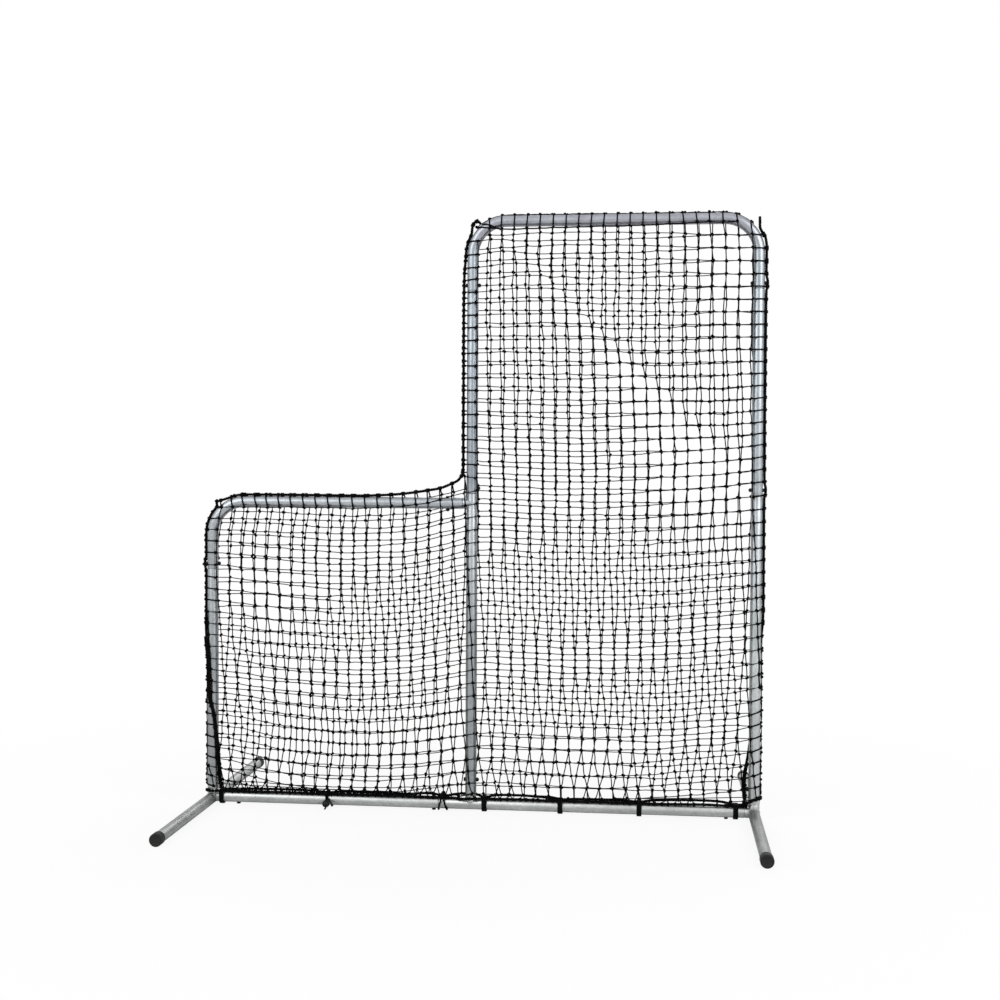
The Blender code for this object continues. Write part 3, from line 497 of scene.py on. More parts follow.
def carried_frames(route, cyclic=False):
    """Two directions square to a route at each of its points, carried along without twist."""
    count = len(route)
    side = None
    frames = []
    for index in range(count):
        before = route[index - 1] if index or cyclic else route[0]
        after = route[(index + 1) % count] if index + 1 < count or cyclic else route[-1]
        heading = (after - before).normalized()
        if side is None:
            side, _ = axis_frame(heading)
        side = (side - heading * side.dot(heading)).normalized()
        frames.append((side, heading.cross(side)))
    return frames


def swept_form(mould, route, radius, sides, cyclic=False, ends=True):
    """A round cord along a route, carried without twist."""
    radii = radius if isinstance(radius, list) else [radius] * len(route)
    rings = [
        mould.add_ring(spot, side, up, [here] * sides)
        for spot, (side, up), here in zip(route, carried_frames(route, cyclic), radii)
    ]
    walked = 0
    girth = 2 * math.pi * max(radii)
    spans = list(zip(rings, rings[1:], route, route[1:]))
    if cyclic:
        spans.append((rings[-1], rings[0], route[-1], route[0]))
    for first, second, start, end in spans:
        step = (end - start).length
        mould.join_rings(first, second, walked, walked + step, girth)
        walked += step
    if not cyclic and ends:
        mould.close_ring(rings[0])
        mould.close_ring(rings[-1])


def smooth_route(points, samples):
    """Points of a smooth curve through all the given ones, by cubic Hermite spans."""
    tangents = []
    for index, spot in enumerate(points):
        back = spot - points[index - 1] if index else points[1] - spot
        ahead = points[index + 1] - spot if index + 1 < len(points) else back
        heading = back.normalized() * ahead.length + ahead.normalized() * back.length
        tangents.append(heading.normalized() * min(back.length, ahead.length))
    route = []
    for start, end, leave, arrive in zip(points, points[1:], tangents, tangents[1:]):
        for sample in range(samples):
            t = sample / samples
            ease = t * t * (3 - 2 * t)
            bow = leave * (t * (1 - t) ** 2) - arrive * (t * t * (1 - t))
            route.append(start * (1 - ease) + end * ease + bow)
    route.append(points[-1])
    return route


def even_route(route, step):
    """The same route with points at even distances."""
    walked = [0.0]
    for start, end in zip(route, route[1:]):
        walked.append(walked[-1] + (end - start).length)
    count = max(2, round(walked[-1] / step))
    even = []
    span = 0
    for index in range(count + 1):
        goal = walked[-1] * index / count
        while span < len(route) - 2 and walked[span + 1] < goal:
            span += 1
        share = (goal - walked[span]) / max(1e-9, walked[span + 1] - walked[span])
        even.append(route[span].lerp(route[span + 1], min(1, max(0, share))))
    return even


def twisted_rope(mould, route, rope_radius, lay_length):
    """A rope of three strands laid round each other along a route, with points 2.2 mm apart."""
    step = 0.0022
    route = even_route(route, step)
    # The strands are pressed together, so each is a little over half as wide as the rope
    strand_radius = rope_radius * 0.52
    offset = rope_radius - strand_radius
    frames = carried_frames(route)
    for strand in range(3):
        path = []
        for index, (spot, (across, above)) in enumerate(zip(route, frames)):
            turn = 2 * math.pi * (index * step / lay_length + strand / 3)
            lay = across * (offset * math.cos(turn)), above * (offset * math.sin(turn))
            path.append(spot + lay[0] + lay[1])
        swept_form(mould, path, strand_radius, 6)
    return route


def plain_profile(length):
    """A tube cut square at both ends, with its cut edges eased."""
    eased = TUBE_RADIUS - EASED_EDGE
    return [
        (0, eased), (EASED_EDGE, TUBE_RADIUS), (length - EASED_EDGE, TUBE_RADIUS),
        (length, eased), (length, BORE_RADIUS), (0, BORE_RADIUS),
    ]


def swaged_profile(length):
    """A tube with a plain near end, and a swaged spigot past its shoulder at the far end."""
    shoulder = length - SWAGE_LENGTH
    end = length + SPIGOT_LENGTH
    return [
        (0, TUBE_RADIUS - EASED_EDGE), (EASED_EDGE, TUBE_RADIUS), (shoulder, TUBE_RADIUS),
        (shoulder + 0.0010, TUBE_RADIUS - 0.0003), (shoulder + 0.0020, TUBE_RADIUS - 0.0011),
        (length, SPIGOT_RADIUS), (end - 0.001, SPIGOT_RADIUS), (end, SPIGOT_RADIUS - 0.001),
        (end, SPIGOT_BORE), (length, SPIGOT_BORE), (shoulder, BORE_RADIUS), (0, BORE_RADIUS),
    ]


def weld_stub(mould, center, direction, carrier, seam_to_bolt):
    """A stub on the side of a tube, with its weld bead laid round the saddle."""
    neck = TUBE_RADIUS - EASED_EDGE
    end = STUB_SEAM + seam_to_bolt + SPIGOT_TAIL
    shoulder = STUB_SEAM - SWAGE_LENGTH
    turned_form(mould, center, direction, [
        (0, neck), (shoulder, neck), (shoulder + 0.0010, neck - 0.0003),
        (shoulder + 0.0020, neck - 0.0010), (STUB_SEAM, SPIGOT_RADIUS),
        (end - 0.001, SPIGOT_RADIUS), (end, SPIGOT_RADIUS - 0.001), (end, SPIGOT_BORE),
        (0, SPIGOT_BORE),
    ], closed=False)
    across = carrier.cross(direction)
    reach = neck + 0.0007
    steps = 96
    bead = []
    widths = []
    for step in range(steps):
        angle = 2 * math.pi * step / steps
        sideways = reach * math.cos(angle)
        rise = math.sqrt(max(0.0036 ** 2, TUBE_RADIUS ** 2 - min(neck, abs(sideways)) ** 2))
        bead.append(
            center + across * sideways + carrier * (reach * math.sin(angle))
            + direction * (rise + 0.0006)
        )
        # Ripples of the weld pool, with a slower waver over them
        widths.append(0.0019 + 0.0004 * math.sin(step * 2 * math.pi / 4) + 0.0002 * math.sin(step))
    swept_form(mould, bead, widths, 8, cyclic=True)


def bend_spots(center, start_degrees, end_degrees):
    """Places round a bend of a tube in the screen's plane."""
    steps = 24
    spots = []
    for step in range(steps + 1):
        angle = math.radians(start_degrees + (end_degrees - start_degrees) * step / steps)
        outward = Vector((math.cos(angle), 0, math.sin(angle)))
        spots.append((center + outward * BEND_RADIUS, outward))
    return spots


def bent_tube(name, spots, finish):
    """A hollow tube through places that each hold a center and the outward direction."""
    mould = Mould()
    girth = 2 * math.pi * TUBE_RADIUS
    outer, inner = (
        [mould.add_ring(spot, out, Y_AXIS, [radius] * ROUND_SIDES) for spot, out in spots]
        for radius in (TUBE_RADIUS, BORE_RADIUS)
    )
    for rings in (outer, inner):
        walked = 0
        for one, two, (start, _), (end, _) in zip(rings, rings[1:], spots, spots[1:]):
            step = (end - start).length
            mould.join_rings(one, two, walked, walked + step, girth)
            walked += step
    for end in (0, -1):
        mould.join_rings(outer[end], inner[end], 0, TUBE_RADIUS - BORE_RADIUS, girth)
    finished_piece(f"{name}_tube", mould, finish, name)


def straight_tube(name, start, axis, profile, finish, stubs=()):
    """A tube along an axis, with its stubs: each holds center, direction and bolt distance."""
    mould = Mould()
    turned_form(mould, start, axis, profile, closed=False)
    for center, direction, seam_to_bolt in stubs:
        weld_stub(mould, center, direction, axis, seam_to_bolt)
    finished_piece(f"{name}_tube", mould, finish, name)


def make_tubes(finish):
    """Feet, floor rail, posts, low corner rail and top arch."""
    foot_length = FOOT_SPAN - 2 * (CAP_END + TOUCH_GAP)
    for name, post_x, inward in (("left_foot", LEFT_X, X_AXIS), ("right_foot", RIGHT_X, -X_AXIS)):
        middle = Vector((post_x, 0, FOOT_Z))
        rail_end = Vector((post_x, 0, RAIL_Z))
        straight_tube(
            name, middle - Y_AXIS * (foot_length / 2), Y_AXIS, plain_profile(foot_length), finish,
            [(middle, Z_AXIS, POST_STUB_BOLT), (rail_end, inward, RAIL_STUB_BOLT)],
        )
    past_stub = STUB_SEAM + TOUCH_GAP
    left_end = LEFT_X + STUB_SEAM + TOUCH_GAP
    straight_tube(
        "left_floor_rail", Vector((left_end, 0, RAIL_Z)), X_AXIS,
        plain_profile(RAIL_SEAM_X - TOUCH_GAP - left_end), finish,
    )
    right_end = RIGHT_X - STUB_SEAM - TOUCH_GAP
    straight_tube(
        "right_floor_rail", Vector((right_end, 0, RAIL_Z)), -X_AXIS,
        swaged_profile(right_end - RAIL_SEAM_X), finish,
        [(Vector((CENTER_X, 0, RAIL_Z)), Z_AXIS, POST_STUB_BOLT)],
    )
    foot_seam = FOOT_Z + past_stub
    rail_seam = RAIL_Z + past_stub
    splice = SPLICE_SEAM_Z + TOUCH_GAP
    low_rail_stub = [(Vector((CENTER_X, 0, LOW_Z)), -X_AXIS, POST_STUB_BOLT)]
    for name, post_x, bottom, seam, stubs in (
        ("left_upright", LEFT_X, foot_seam, CORNER_SEAM_Z, ()),
        ("right_lower_post", RIGHT_X, foot_seam, SPLICE_SEAM_Z, ()),
        ("right_upper_post", RIGHT_X, splice, ARCH_SEAM_Z, ()),
        ("center_upper_post", CENTER_X, splice, ARCH_SEAM_Z, ()),
        ("center_lower_post", CENTER_X, rail_seam, SPLICE_SEAM_Z, low_rail_stub),
    ):
        straight_tube(
            name, Vector((post_x, 0, bottom)), Z_AXIS, swaged_profile(seam - bottom), finish, stubs,
        )
    corner = [(Vector((LEFT_X, 0, CORNER_SEAM_Z + TOUCH_GAP)), -X_AXIS)]
    corner += bend_spots(LOW_BEND, 180, 90)
    corner.append((Vector((CENTER_X - STUB_SEAM - TOUCH_GAP, 0, LOW_Z)), Z_AXIS))
    bent_tube("low_corner_rail", corner, finish)
    leg_z = ARCH_SEAM_Z + TOUCH_GAP
    arch = [(Vector((CENTER_X, 0, leg_z)), -X_AXIS)]
    arch += bend_spots(ARCH_LEFT_BEND, 180, 90) + bend_spots(ARCH_RIGHT_BEND, 90, 0)
    arch.append((Vector((RIGHT_X, 0, leg_z)), X_AXIS))
    bent_tube("top_arch", arch, finish)


def hexagon_body(seat, washer, top, corner):
    """Profile of a 13 mm hexagon: a washer face, full corners, and corners coned off on top."""
    body = []
    rows = [(seat, washer), (seat + 0.0003, 0.0080)]
    rows += [(top - below, corner + 1.73 * below) for below in (0.0009, 0.0006, 0.0003, 0.0)]
    sixth = math.pi / 3
    for along, cone in rows:
        radii = []
        for index in range(ROUND_SIDES):
            angle = (2 * math.pi * index / ROUND_SIDES) % sixth
            radii.append(min(0.0065 / math.cos(angle - sixth / 2), cone))
        body.append((along, radii))
    return body


def arc_profile(turns, along, radius, reach, wide):
    """Profile round an arc: where it starts, and how far it reaches along and out."""
    angles = [math.radians(turn) for turn in turns]
    return [(along + reach * math.sin(angle), radius + wide * math.cos(angle)) for angle in angles]


def make_fasteners(finish):
    """A chamfered hexagon bolt and a domed cap nut at each joint."""
    seat = TUBE_RADIUS + TOUCH_GAP
    head_top = seat + 0.0053
    nut_top = seat + 0.0062
    head = [(-(seat + 0.0067), 0.0036), (-(seat + 0.0062), 0.004), (seat, 0.004)]
    head += hexagon_body(seat, 0.0063, head_top, 0.0061)
    # The forged top of the head is slightly dished
    head += [(head_top - 0.0003, 0.0050), (head_top - 0.0004, 0.0010)]
    nut = [(seat + 0.0069, 0.0045), (seat, 0.0045)] + hexagon_body(seat, 0.0065, nut_top, 0.0062)
    nut.append((nut_top + 0.0001, 0.0057))
    nut += arc_profile((10, 25, 40, 55, 70, 84), nut_top, 0, 0.0033, 0.0057)
    for name, place_x, place_z, head_side in (
        ("left_post_base", LEFT_X, FOOT_BOLT_Z, -X_AXIS),
        ("left_corner", LEFT_X, CORNER_BOLT_Z, -X_AXIS),
        ("low_rail_end", LOW_RAIL_BOLT_X, LOW_Z, Z_AXIS),
        ("center_post_base", CENTER_X, RAIL_POST_BOLT_Z, -X_AXIS),
        ("center_post_splice", CENTER_X, SPLICE_BOLT_Z, -X_AXIS),
        ("center_arch_leg", CENTER_X, ARCH_BOLT_Z, -X_AXIS),
        ("right_arch_leg", RIGHT_X, ARCH_BOLT_Z, X_AXIS),
        ("right_post_splice", RIGHT_X, SPLICE_BOLT_Z, X_AXIS),
        ("right_post_base", RIGHT_X, FOOT_BOLT_Z, X_AXIS),
        ("left_rail_end", -RAIL_BOLT_X, RAIL_Z, -Z_AXIS),
        ("rail_splice", RAIL_SPLICE_X, RAIL_Z, -Z_AXIS),
        ("right_rail_end", RAIL_BOLT_X, RAIL_Z, -Z_AXIS),
    ):
        center = Vector((place_x, 0, place_z))
        for piece, node, side, profile in (
            ("hex", "bolt", head_side, head), ("cap", "nut", -head_side, nut),
        ):
            mould = Mould()
            turned_form(mould, center, side, profile)
            finished_piece(f"{piece}_{name}", mould, finish, f"{node}_{name}", 25)


def make_foot_caps(finish):
    """Moulded end caps with eased edges, a rolled mouth and a shallow dished end."""
    mouth = -CAP_LENGTH
    eased = 0.003
    profile = [(-CAP_END, 0.0203), (mouth + 0.0006, 0.0203), (mouth, 0.0208), (mouth, 0.0217),
               (mouth + 0.0003, 0.0221), (mouth + 0.0009, CAP_RADIUS),
               (mouth + 0.0035, CAP_RADIUS), (mouth + 0.0040, CAP_RADIUS - 0.0004),
               (mouth + 0.0046, CAP_RADIUS - 0.0001)]
    profile += arc_profile((0, 18, 36, 54, 72, 90), -eased, CAP_RADIUS - eased, eased, eased)
    profile += [(-0.0002, 0.0165), (-0.0010, 0.0155), (-0.0012, 0.0060)]
    for side_name, post_x in (("left", LEFT_X), ("right", RIGHT_X)):
        for end_name, outward in (("front", -Y_AXIS), ("rear", Y_AXIS)):
            tip = Vector((post_x, 0, FOOT_Z)) + outward * (FOOT_SPAN / 2)
            mould = Mould()
            turned_form(mould, tip, outward, profile)
            name = f"{side_name}_{end_name}_cap"
            finished_piece(f"moulded_{name}", mould, finish, name, 50)


# Places of the knots of both net faces in millimetres, x then z, at some rows and columns of
# meshes. Rows count down from the arch and columns count from the left post. The others follow
# by smooth curves between these. The tall bay has its own table above the low rail
UPPER_ROWS = (0, 2, 4, 7, 10, 13, 16, 18, 21)
UPPER_COLUMNS = (21, 24, 28, 32, 36, 40, 43)
LOWER_ROWS = (21, 24, 27, 30, 33, 36, 39, 42, 44, 46)
LOWER_COLUMNS = (-1, 1, 4, 8, 12, 16, 19, 21, 24, 28, 32, 36, 40, 43)
FRONT_NET = (
    (
        (-5, 2093, 133, 2096, 316, 2101, 497, 2103, 681, 2108, 868, 2113, 1008, 2111),
        (-7, 1996, 129, 2007, 311, 2008, 495, 2008, 685, 2014, 877, 2021, 1015, 2019),
        (-9, 1906, 132, 1916, 310, 1922, 494, 1917, 684, 1922, 878, 1930, 1017, 1930),
        (-10, 1780, 134, 1782, 310, 1785, 492, 1783, 681, 1785, 872, 1796, 1017, 1798),
        (-8, 1645, 136, 1648, 320, 1646, 496, 1653, 684, 1653, 872, 1662, 1015, 1665),
        (-9, 1513, 138, 1511, 322, 1505, 502, 1514, 685, 1523, 874, 1527, 1017, 1539),
        (-8, 1381, 135, 1375, 321, 1369, 506, 1377, 687, 1389, 874, 1395, 1018, 1410),
        (-6, 1291, 137, 1284, 324, 1278, 510, 1285, 693, 1298, 876, 1311, 1014, 1328),
        (-5, 1158, 136, 1149, 323, 1143, 509, 1148, 692, 1163, 874, 1176, 1008, 1195),
    ),
    (
        (-988, 1086, -901, 1089, -770, 1089, -590, 1089, -410, 1090, -227, 1102, -95, 1135,
         -4, 1155, 136, 1149, 323, 1143, 509, 1148, 692, 1163, 874, 1177, 1007, 1194),
        (-1001, 966, -918, 963, -780, 956, -593, 952, -407, 953, -224, 968, -90, 1001,
         -1, 1018, 141, 1013, 327, 1007, 511, 1011, 695, 1025, 877, 1041, 1015, 1053),
        (-1004, 836, -914, 830, -774, 819, -589, 816, -404, 818, -217, 836, -84, 865,
         5, 881, 146, 876, 332, 869, 516, 874, 701, 887, 885, 905, 1023, 922),
        (-999, 708, -906, 701, -767, 684, -580, 680, -392, 685, -208, 702, -76, 730,
         14, 743, 153, 740, 338, 733, 524, 739, 708, 752, 892, 770, 1027, 795),
        (-990, 580, -895, 575, -756, 553, -567, 547, -382, 550, -199, 568, -67, 594,
         22, 607, 162, 604, 346, 598, 532, 604, 716, 615, 900, 633, 1032, 660),
        (-982, 452, -883, 445, -743, 428, -559, 414, -373, 417, -191, 435, -62, 458,
         30, 470, 170, 468, 354, 464, 539, 469, 724, 479, 908, 498, 1036, 527),
        (-974, 331, -869, 324, -729, 299, -547, 281, -363, 283, -183, 300, -53, 322,
         41, 334, 181, 332, 367, 327, 549, 333, 734, 345, 918, 365, 1039, 399),
        (-962, 209, -867, 195, -734, 168, -549, 150, -361, 150, -176, 165, -40, 189,
         53, 200, 192, 193, 377, 188, 562, 195, 745, 214, 927, 234, 1048, 271),
        (-947, 131, -857, 113, -728, 85, -548, 64, -361, 62, -169, 82, -27, 105,
         65, 112, 204, 106, 391, 99, 573, 110, 755, 128, 936, 150, 1062, 184),
        (-928, 56, -843, 37, -717, 8, -544, -17, -358, -19, -162, 1, -17, 17,
         78, 22, 217, 20, 403, 15, 584, 25, 765, 43, 944, 70, 1077, 95),
    ),
)
BACK_NET = (
    (
        (-11, 2108, 125, 2117, 302, 2121, 491, 2120, 677, 2114, 865, 2106, 1002, 2103),
        (-22, 2019, 117, 2025, 301, 2031, 490, 2027, 677, 2022, 867, 2014, 1007, 2012),
        (-27, 1931, 115, 1936, 303, 1937, 493, 1934, 681, 1930, 868, 1923, 1009, 1921),
        (-26, 1799, 117, 1800, 305, 1799, 494, 1796, 683, 1792, 868, 1790, 1008, 1785),
        (-24, 1663, 119, 1664, 307, 1663, 494, 1657, 683, 1656, 872, 1658, 1007, 1659),
        (-20, 1529, 123, 1527, 312, 1526, 499, 1522, 688, 1522, 879, 1524, 1025, 1534),
        (-17, 1395, 125, 1392, 313, 1389, 502, 1387, 688, 1388, 880, 1392, 1028, 1404),
        (-15, 1307, 129, 1302, 317, 1299, 505, 1298, 693, 1298, 880, 1309, 1023, 1321),
        (-8, 1174, 132, 1168, 319, 1163, 506, 1161, 693, 1162, 877, 1176, 1008, 1192),
    ),
    (
        (-992, 1111, -896, 1115, -758, 1115, -579, 1107, -400, 1106, -224, 1120, -95, 1149,
         -7, 1170, 132, 1168, 319, 1163, 506, 1162, 692, 1162, 877, 1176, 1005, 1193),
        (-1010, 984, -918, 989, -780, 985, -597, 974, -414, 971, -231, 982, -96, 1013,
         -6, 1033, 132, 1030, 317, 1026, 502, 1025, 685, 1028, 870, 1039, 1009, 1054),
        (-1015, 854, -925, 858, -785, 855, -601, 841, -420, 837, -239, 847, -101, 877,
         -10, 895, 126, 892, 311, 889, 495, 891, 680, 892, 864, 909, 1005, 918),
        (-1014, 721, -927, 725, -785, 723, -603, 709, -424, 703, -242, 715, -104, 742,
         -13, 758, 126, 755, 309, 752, 494, 753, 678, 757, 860, 776, 1002, 784),
        (-1017, 597, -932, 592, -791, 586, -608, 575, -429, 569, -247, 583, -110, 609,
         -18, 622, 119, 620, 303, 615, 487, 616, 671, 621, 852, 640, 993, 645),
        (-1032, 468, -942, 463, -801, 455, -618, 442, -436, 436, -253, 449, -117, 474,
         -25, 489, 111, 485, 296, 481, 480, 480, 662, 484, 845, 504, 980, 507),
        (-1044, 337, -951, 336, -806, 331, -625, 316, -446, 307, -261, 321, -125, 344,
         -33, 357, 104, 354, 289, 351, 472, 350, 655, 349, 838, 370, 972, 374),
        (-1053, 209, -961, 209, -818, 202, -630, 193, -451, 186, -272, 196, -136, 213,
         -46, 224, 92, 222, 276, 223, 460, 223, 642, 219, 824, 235, 961, 237),
        (-1062, 126, -972, 124, -833, 118, -644, 109, -461, 107, -280, 115, -146, 127,
         -57, 134, 79, 132, 263, 133, 445, 132, 630, 132, 812, 143, 951, 144),
        (-1073, 42, -980, 37, -840, 32, -654, 26, -475, 23, -293, 28, -159, 39,
         -70, 44, 65, 42, 247, 45, 429, 44, 615, 45, 800, 49, 941, 50),
    ),
)


def eased_value(stations, values, at):
    """A smooth curve through values at the given stations, and straight past both ends."""
    last = len(stations) - 1
    if at <= stations[0] or at >= stations[-1]:
        near, far = (0, 1) if at <= stations[0] else (last, last - 1)
        slope = (values[far] - values[near]) / (stations[far] - stations[near])
        return values[near] + slope * (at - stations[near])
    span = 0
    while stations[span + 1] < at:
        span += 1

    def slope_at(index):
        low, high = max(0, index - 1), min(last, index + 1)
        return (values[high] - values[low]) / (stations[high] - stations[low])

    width = stations[span + 1] - stations[span]
    t = (at - stations[span]) / width
    ease = t * t * (3 - 2 * t)
    leave = slope_at(span) * width
    arrive = slope_at(span + 1) * width
    bow = leave * t * (1 - t) ** 2 - arrive * t * t * (1 - t)
    return values[span] * (1 - ease) + values[span + 1] * ease + bow


def slack_fold(column, row):
    """A fold of slack down the front face of the tall bay, along the diagonal of its meshes."""
    # Knots past the diagonal slip to the left and down, and those below row 18 stay
    past = 1 / (1 + math.exp(-2.2 * (column - row - 22.3)))
    fade = 1 / (1 + math.exp(0.9 * (row - 18)))
    return past * fade * (-0.0114 - 0.00013 * row), past * fade * (-0.0138 + 0.00040 * row)


def lattice_place(tables, column, row):
    """The place of a knot in the screen's plane, in metres."""
    upper = row < LOWER_ROWS[0]
    rows, columns = (UPPER_ROWS, UPPER_COLUMNS) if upper else (LOWER_ROWS, LOWER_COLUMNS)
    places = tables[0 if upper else 1]
    place = []
    for axis in (0, 1):
        across = [eased_value(columns, line[axis::2], column) for line in places]
        place.append(eased_value(rows, across, row) / 1000)
    if upper and tables is FRONT_NET:
        slip, drop = slack_fold(column, row)
        place = [place[0] + slip, place[1] + drop]
    return place


def frame_distance(x, z):
    """How far a place lies outside the middle line of the tubes: less than nothing inside."""
    # The low bay's outline goes on into the tall bay, so that no line parts the two
    low_right = CENTER_X + 0.4
    distances = []
    for left, right, top, round_right in (
        (CENTER_X, RIGHT_X, TOP_Z, True), (LEFT_X, low_right, LOW_Z, False),
    ):
        mid = (left + right) / 2
        half = (right - left) / 2
        over_x = abs(x - mid) - half
        over_z = z - top
        curved = x < mid or round_right
        if curved and over_x > -BEND_RADIUS and over_z > -BEND_RADIUS:
            reach = math.hypot(over_x + BEND_RADIUS, over_z + BEND_RADIUS)
            distances.append(reach - BEND_RADIUS)
        else:
            distances.append(max(over_x, over_z))
    return min(distances)


def bend_point(bend, turn, radius, y=0.0):
    """A point round a left-hand bend: turn is 0 degrees on the post's side and 90 on top."""
    angle = math.pi - math.radians(turn)
    return Vector((bend.x + radius * math.cos(angle), y, bend.z + radius * math.sin(angle)))


def post_run(post_x, outward, snug, bolts, start_z, end_z):
    """A rope run up or down the side of a post, over the bolt heads on its way."""
    way = 1 if end_z > start_z else -1
    points = [Vector((post_x + outward * snug, 0, start_z))]
    head_edge = 0.008
    back_on_tube = 0.026
    hump = ((-back_on_tube, snug), (-head_edge, SIDE_STANDOFF), (head_edge, SIDE_STANDOFF),
            (back_on_tube, snug))
    for bolt_z in sorted(bolts, reverse=way < 0):
        for along, standoff in hump:
            points.append(Vector((post_x + outward * max(snug, standoff), 0, bolt_z + way * along)))
    points.append(Vector((post_x + outward * snug, 0, end_z)))
    return points


def spots_beside(x, places):
    """Points that each lie some way across, forward and up from a line at x on the floor."""
    return [Vector((x + side, face, height)) for side, face, height in places]


def seam_rope_routes():
    """The three lacing ropes and the notch rope's thin tail, along the ways of their solids."""
    snug_bend = BEND_RADIUS + SNUG_STANDOFF
    left = [Vector((-0.9665, -0.001, 1.1100)), Vector((-0.9665, 0, 1.1000))]
    left += [bend_point(LOW_BEND, turn, snug_bend) for turn in (44, 36, 27, 18, 9)]
    left += post_run(LEFT_X, -1, SNUG_STANDOFF, [CORNER_BOLT_Z], 0.985, 0.705)
    # It swings from the outer side over the face of the post to the inner side
    left += spots_beside(LEFT_X, (
        (-0.0240, -0.0080, 0.660), (-0.0196, -0.0170, 0.620), (-0.0140, -0.0238, 0.580),
        (-0.0082, -0.0268, 0.540), (-0.0055, -0.0279, 0.435), (0.0010, -0.0279, 0.378),
        (0.0120, -0.0256, 0.338), (0.0172, -0.0226, 0.289), (0.0235, -0.0150, 0.223),
        (0.0255, -0.0110, 0.175), (0.0285, -0.0086, 0.135), (0.0315, -0.0096, 0.091),
        (0.0365, -0.0121, 0.0590),
    ))
    notch = [Vector((-0.9665, -0.001, 1.1085)), Vector((-0.9480, 0, 1.1135))]
    notch += [bend_point(LOW_BEND, turn, snug_bend) for turn in (67, 74, 82, 90)]
    notch.append(Vector((-0.6500, 0, LOW_Z + SNUG_STANDOFF)))
    # It bows out of the corner between the low rail and the middle post
    for width, rise in (
        (0.612, 0.210), (0.733, 0.268), (0.836, 0.385), (0.880, 0.450), (0.918, 0.570),
        (0.947, 0.690), (0.962, 0.860),
    ):
        notch.append(Vector((LEFT_X + 0.955 * width, 0, LOW_Z + BEND_RADIUS * rise)))
    notch += spots_beside(CENTER_X, (
        (-NOTCH_STANDOFF, 0, 1.235), (-NOTCH_STANDOFF, 0, 1.330), (-NOTCH_STANDOFF, 0, 1.580),
        (-NOTCH_STANDOFF, 0, 1.840), (-0.0305, 0, 1.930), (-0.0262, 0, 1.985),
    ))
    notch += [bend_point(ARCH_LEFT_BEND, turn, snug_bend) for turn in (10, 21, 30)]
    # A loop stands out of the arch's bend, and a thinner cord goes on over the face of the tube
    notch += spots_beside(0, (
        (-0.0300, 0, 2.0850), (-0.0272, 0, 2.1010), (-0.0185, 0, 2.1120), (-0.0100, 0, 2.1150),
        (-0.0035, 0, 2.1105),
    ))
    notch.append(bend_point(ARCH_LEFT_BEND, 50, snug_bend, -0.003))
    tail = [notch[-1]]
    for turn, side, face in (
        (53, 0.0150, -0.0180), (57.5, 0.0060, -0.0228), (62, -0.0050, -0.0229),
        (66, -0.0150, -0.0178), (72, -0.0220, -0.0125), (76, -0.0260, -0.0100),
    ):
        tail.append(bend_point(ARCH_LEFT_BEND, turn, BEND_RADIUS + side, face))
    # The right rope's free end stands up beside the arch's bend
    right = spots_beside(0, (
        (0.9820, 0, 2.1180), (0.9824, 0, 2.0970), (0.9830, 0, 2.0800), (0.9905, 0, 2.0645),
        (1.0008, 0, 2.0480), (1.0060, 0, 2.0220),
    ))
    right += post_run(RIGHT_X, 1, SNUG_STANDOFF, [ARCH_BOLT_Z, SPLICE_BOLT_Z], 1.985, 0.740)
    right += spots_beside(RIGHT_X, (
        (0.0244, 0.0070, 0.690), (0.0190, 0.0185, 0.640), (0.0100, 0.0262, 0.575),
        (-0.0010, 0.0279, 0.480), (-0.0100, 0.0265, 0.370), (-0.0150, 0.0240, 0.265),
        (-0.0245, 0.0180, 0.206), (-0.0345, 0.0100, 0.158), (-0.0360, 0.0060, 0.110),
        (-0.0345, 0.0030, 0.070),
    ))
    return [smooth_route(points, 8) for points in (left, notch, right, tail)]


def knot_coil(mould, center, axis, reach, turns, cord, spread):
    """Tight turns of cord round a rope: the hitch that holds a mesh, or a whipped knot.

    Reach is the radius of the turns, cord that of the cord, and spread how long the coil is.
    """
    side, up = axis_frame(axis)
    coil = []
    steps = 10
    for step in range(round(steps * turns) + 1):
        angle = 2 * math.pi * step / steps
        along = spread * (step / (steps * turns) - 0.5)
        coil.append(center + axis * along + (side * math.cos(angle) + up * math.sin(angle)) * reach)
    swept_form(mould, coil, cord, 6)


def net_edge():
    """The line all round the net where its edge meshes end, in the screen's plane."""
    left, notch, right, _ = seam_rope_routes()
    side_reach = 0.0215
    top_bend = BEND_RADIUS + 0.0205
    spots = [spot for spot in left[::-3] if 0.70 < spot.z < 1.09]
    spots += [spot for spot in notch[3::3] if spot.z < 2.06 and spot.x < 0]
    for bend, turns, reach in (
        (ARCH_LEFT_BEND, range(30, 50, 6), BEND_RADIUS + SNUG_STANDOFF),
        (ARCH_LEFT_BEND, range(50, 91, 5), top_bend), (ARCH_RIGHT_BEND, range(90, 141, 7), top_bend),
    ):
        spots += [bend_point(bend, turn, reach) for turn in turns]
    spots += [spot for spot in right[::3] if 0.74 < spot.z < 2.05]
    edge = [(LEFT_X - side_reach, 0.055), (LEFT_X - side_reach, 0.62)]
    edge += [(spot.x, spot.z) for spot in spots]
    edge += [(RIGHT_X + side_reach, 0.66), (RIGHT_X + side_reach, 0.055)]
    return edge


EDGE = net_edge()


def span_gap(x, z, one, two):
    """How far a place is from a straight span of the edge line, and the share of it walked."""
    (x1, z1), (x2, z2) = one, two
    span = (x2 - x1) ** 2 + (z2 - z1) ** 2
    share = ((x - x1) * (x2 - x1) + (z - z1) * (z2 - z1)) / max(1e-12, span)
    share = min(1, max(0, share))
    return math.hypot(x - x1 - share * (x2 - x1), z - z1 - share * (z2 - z1)), share


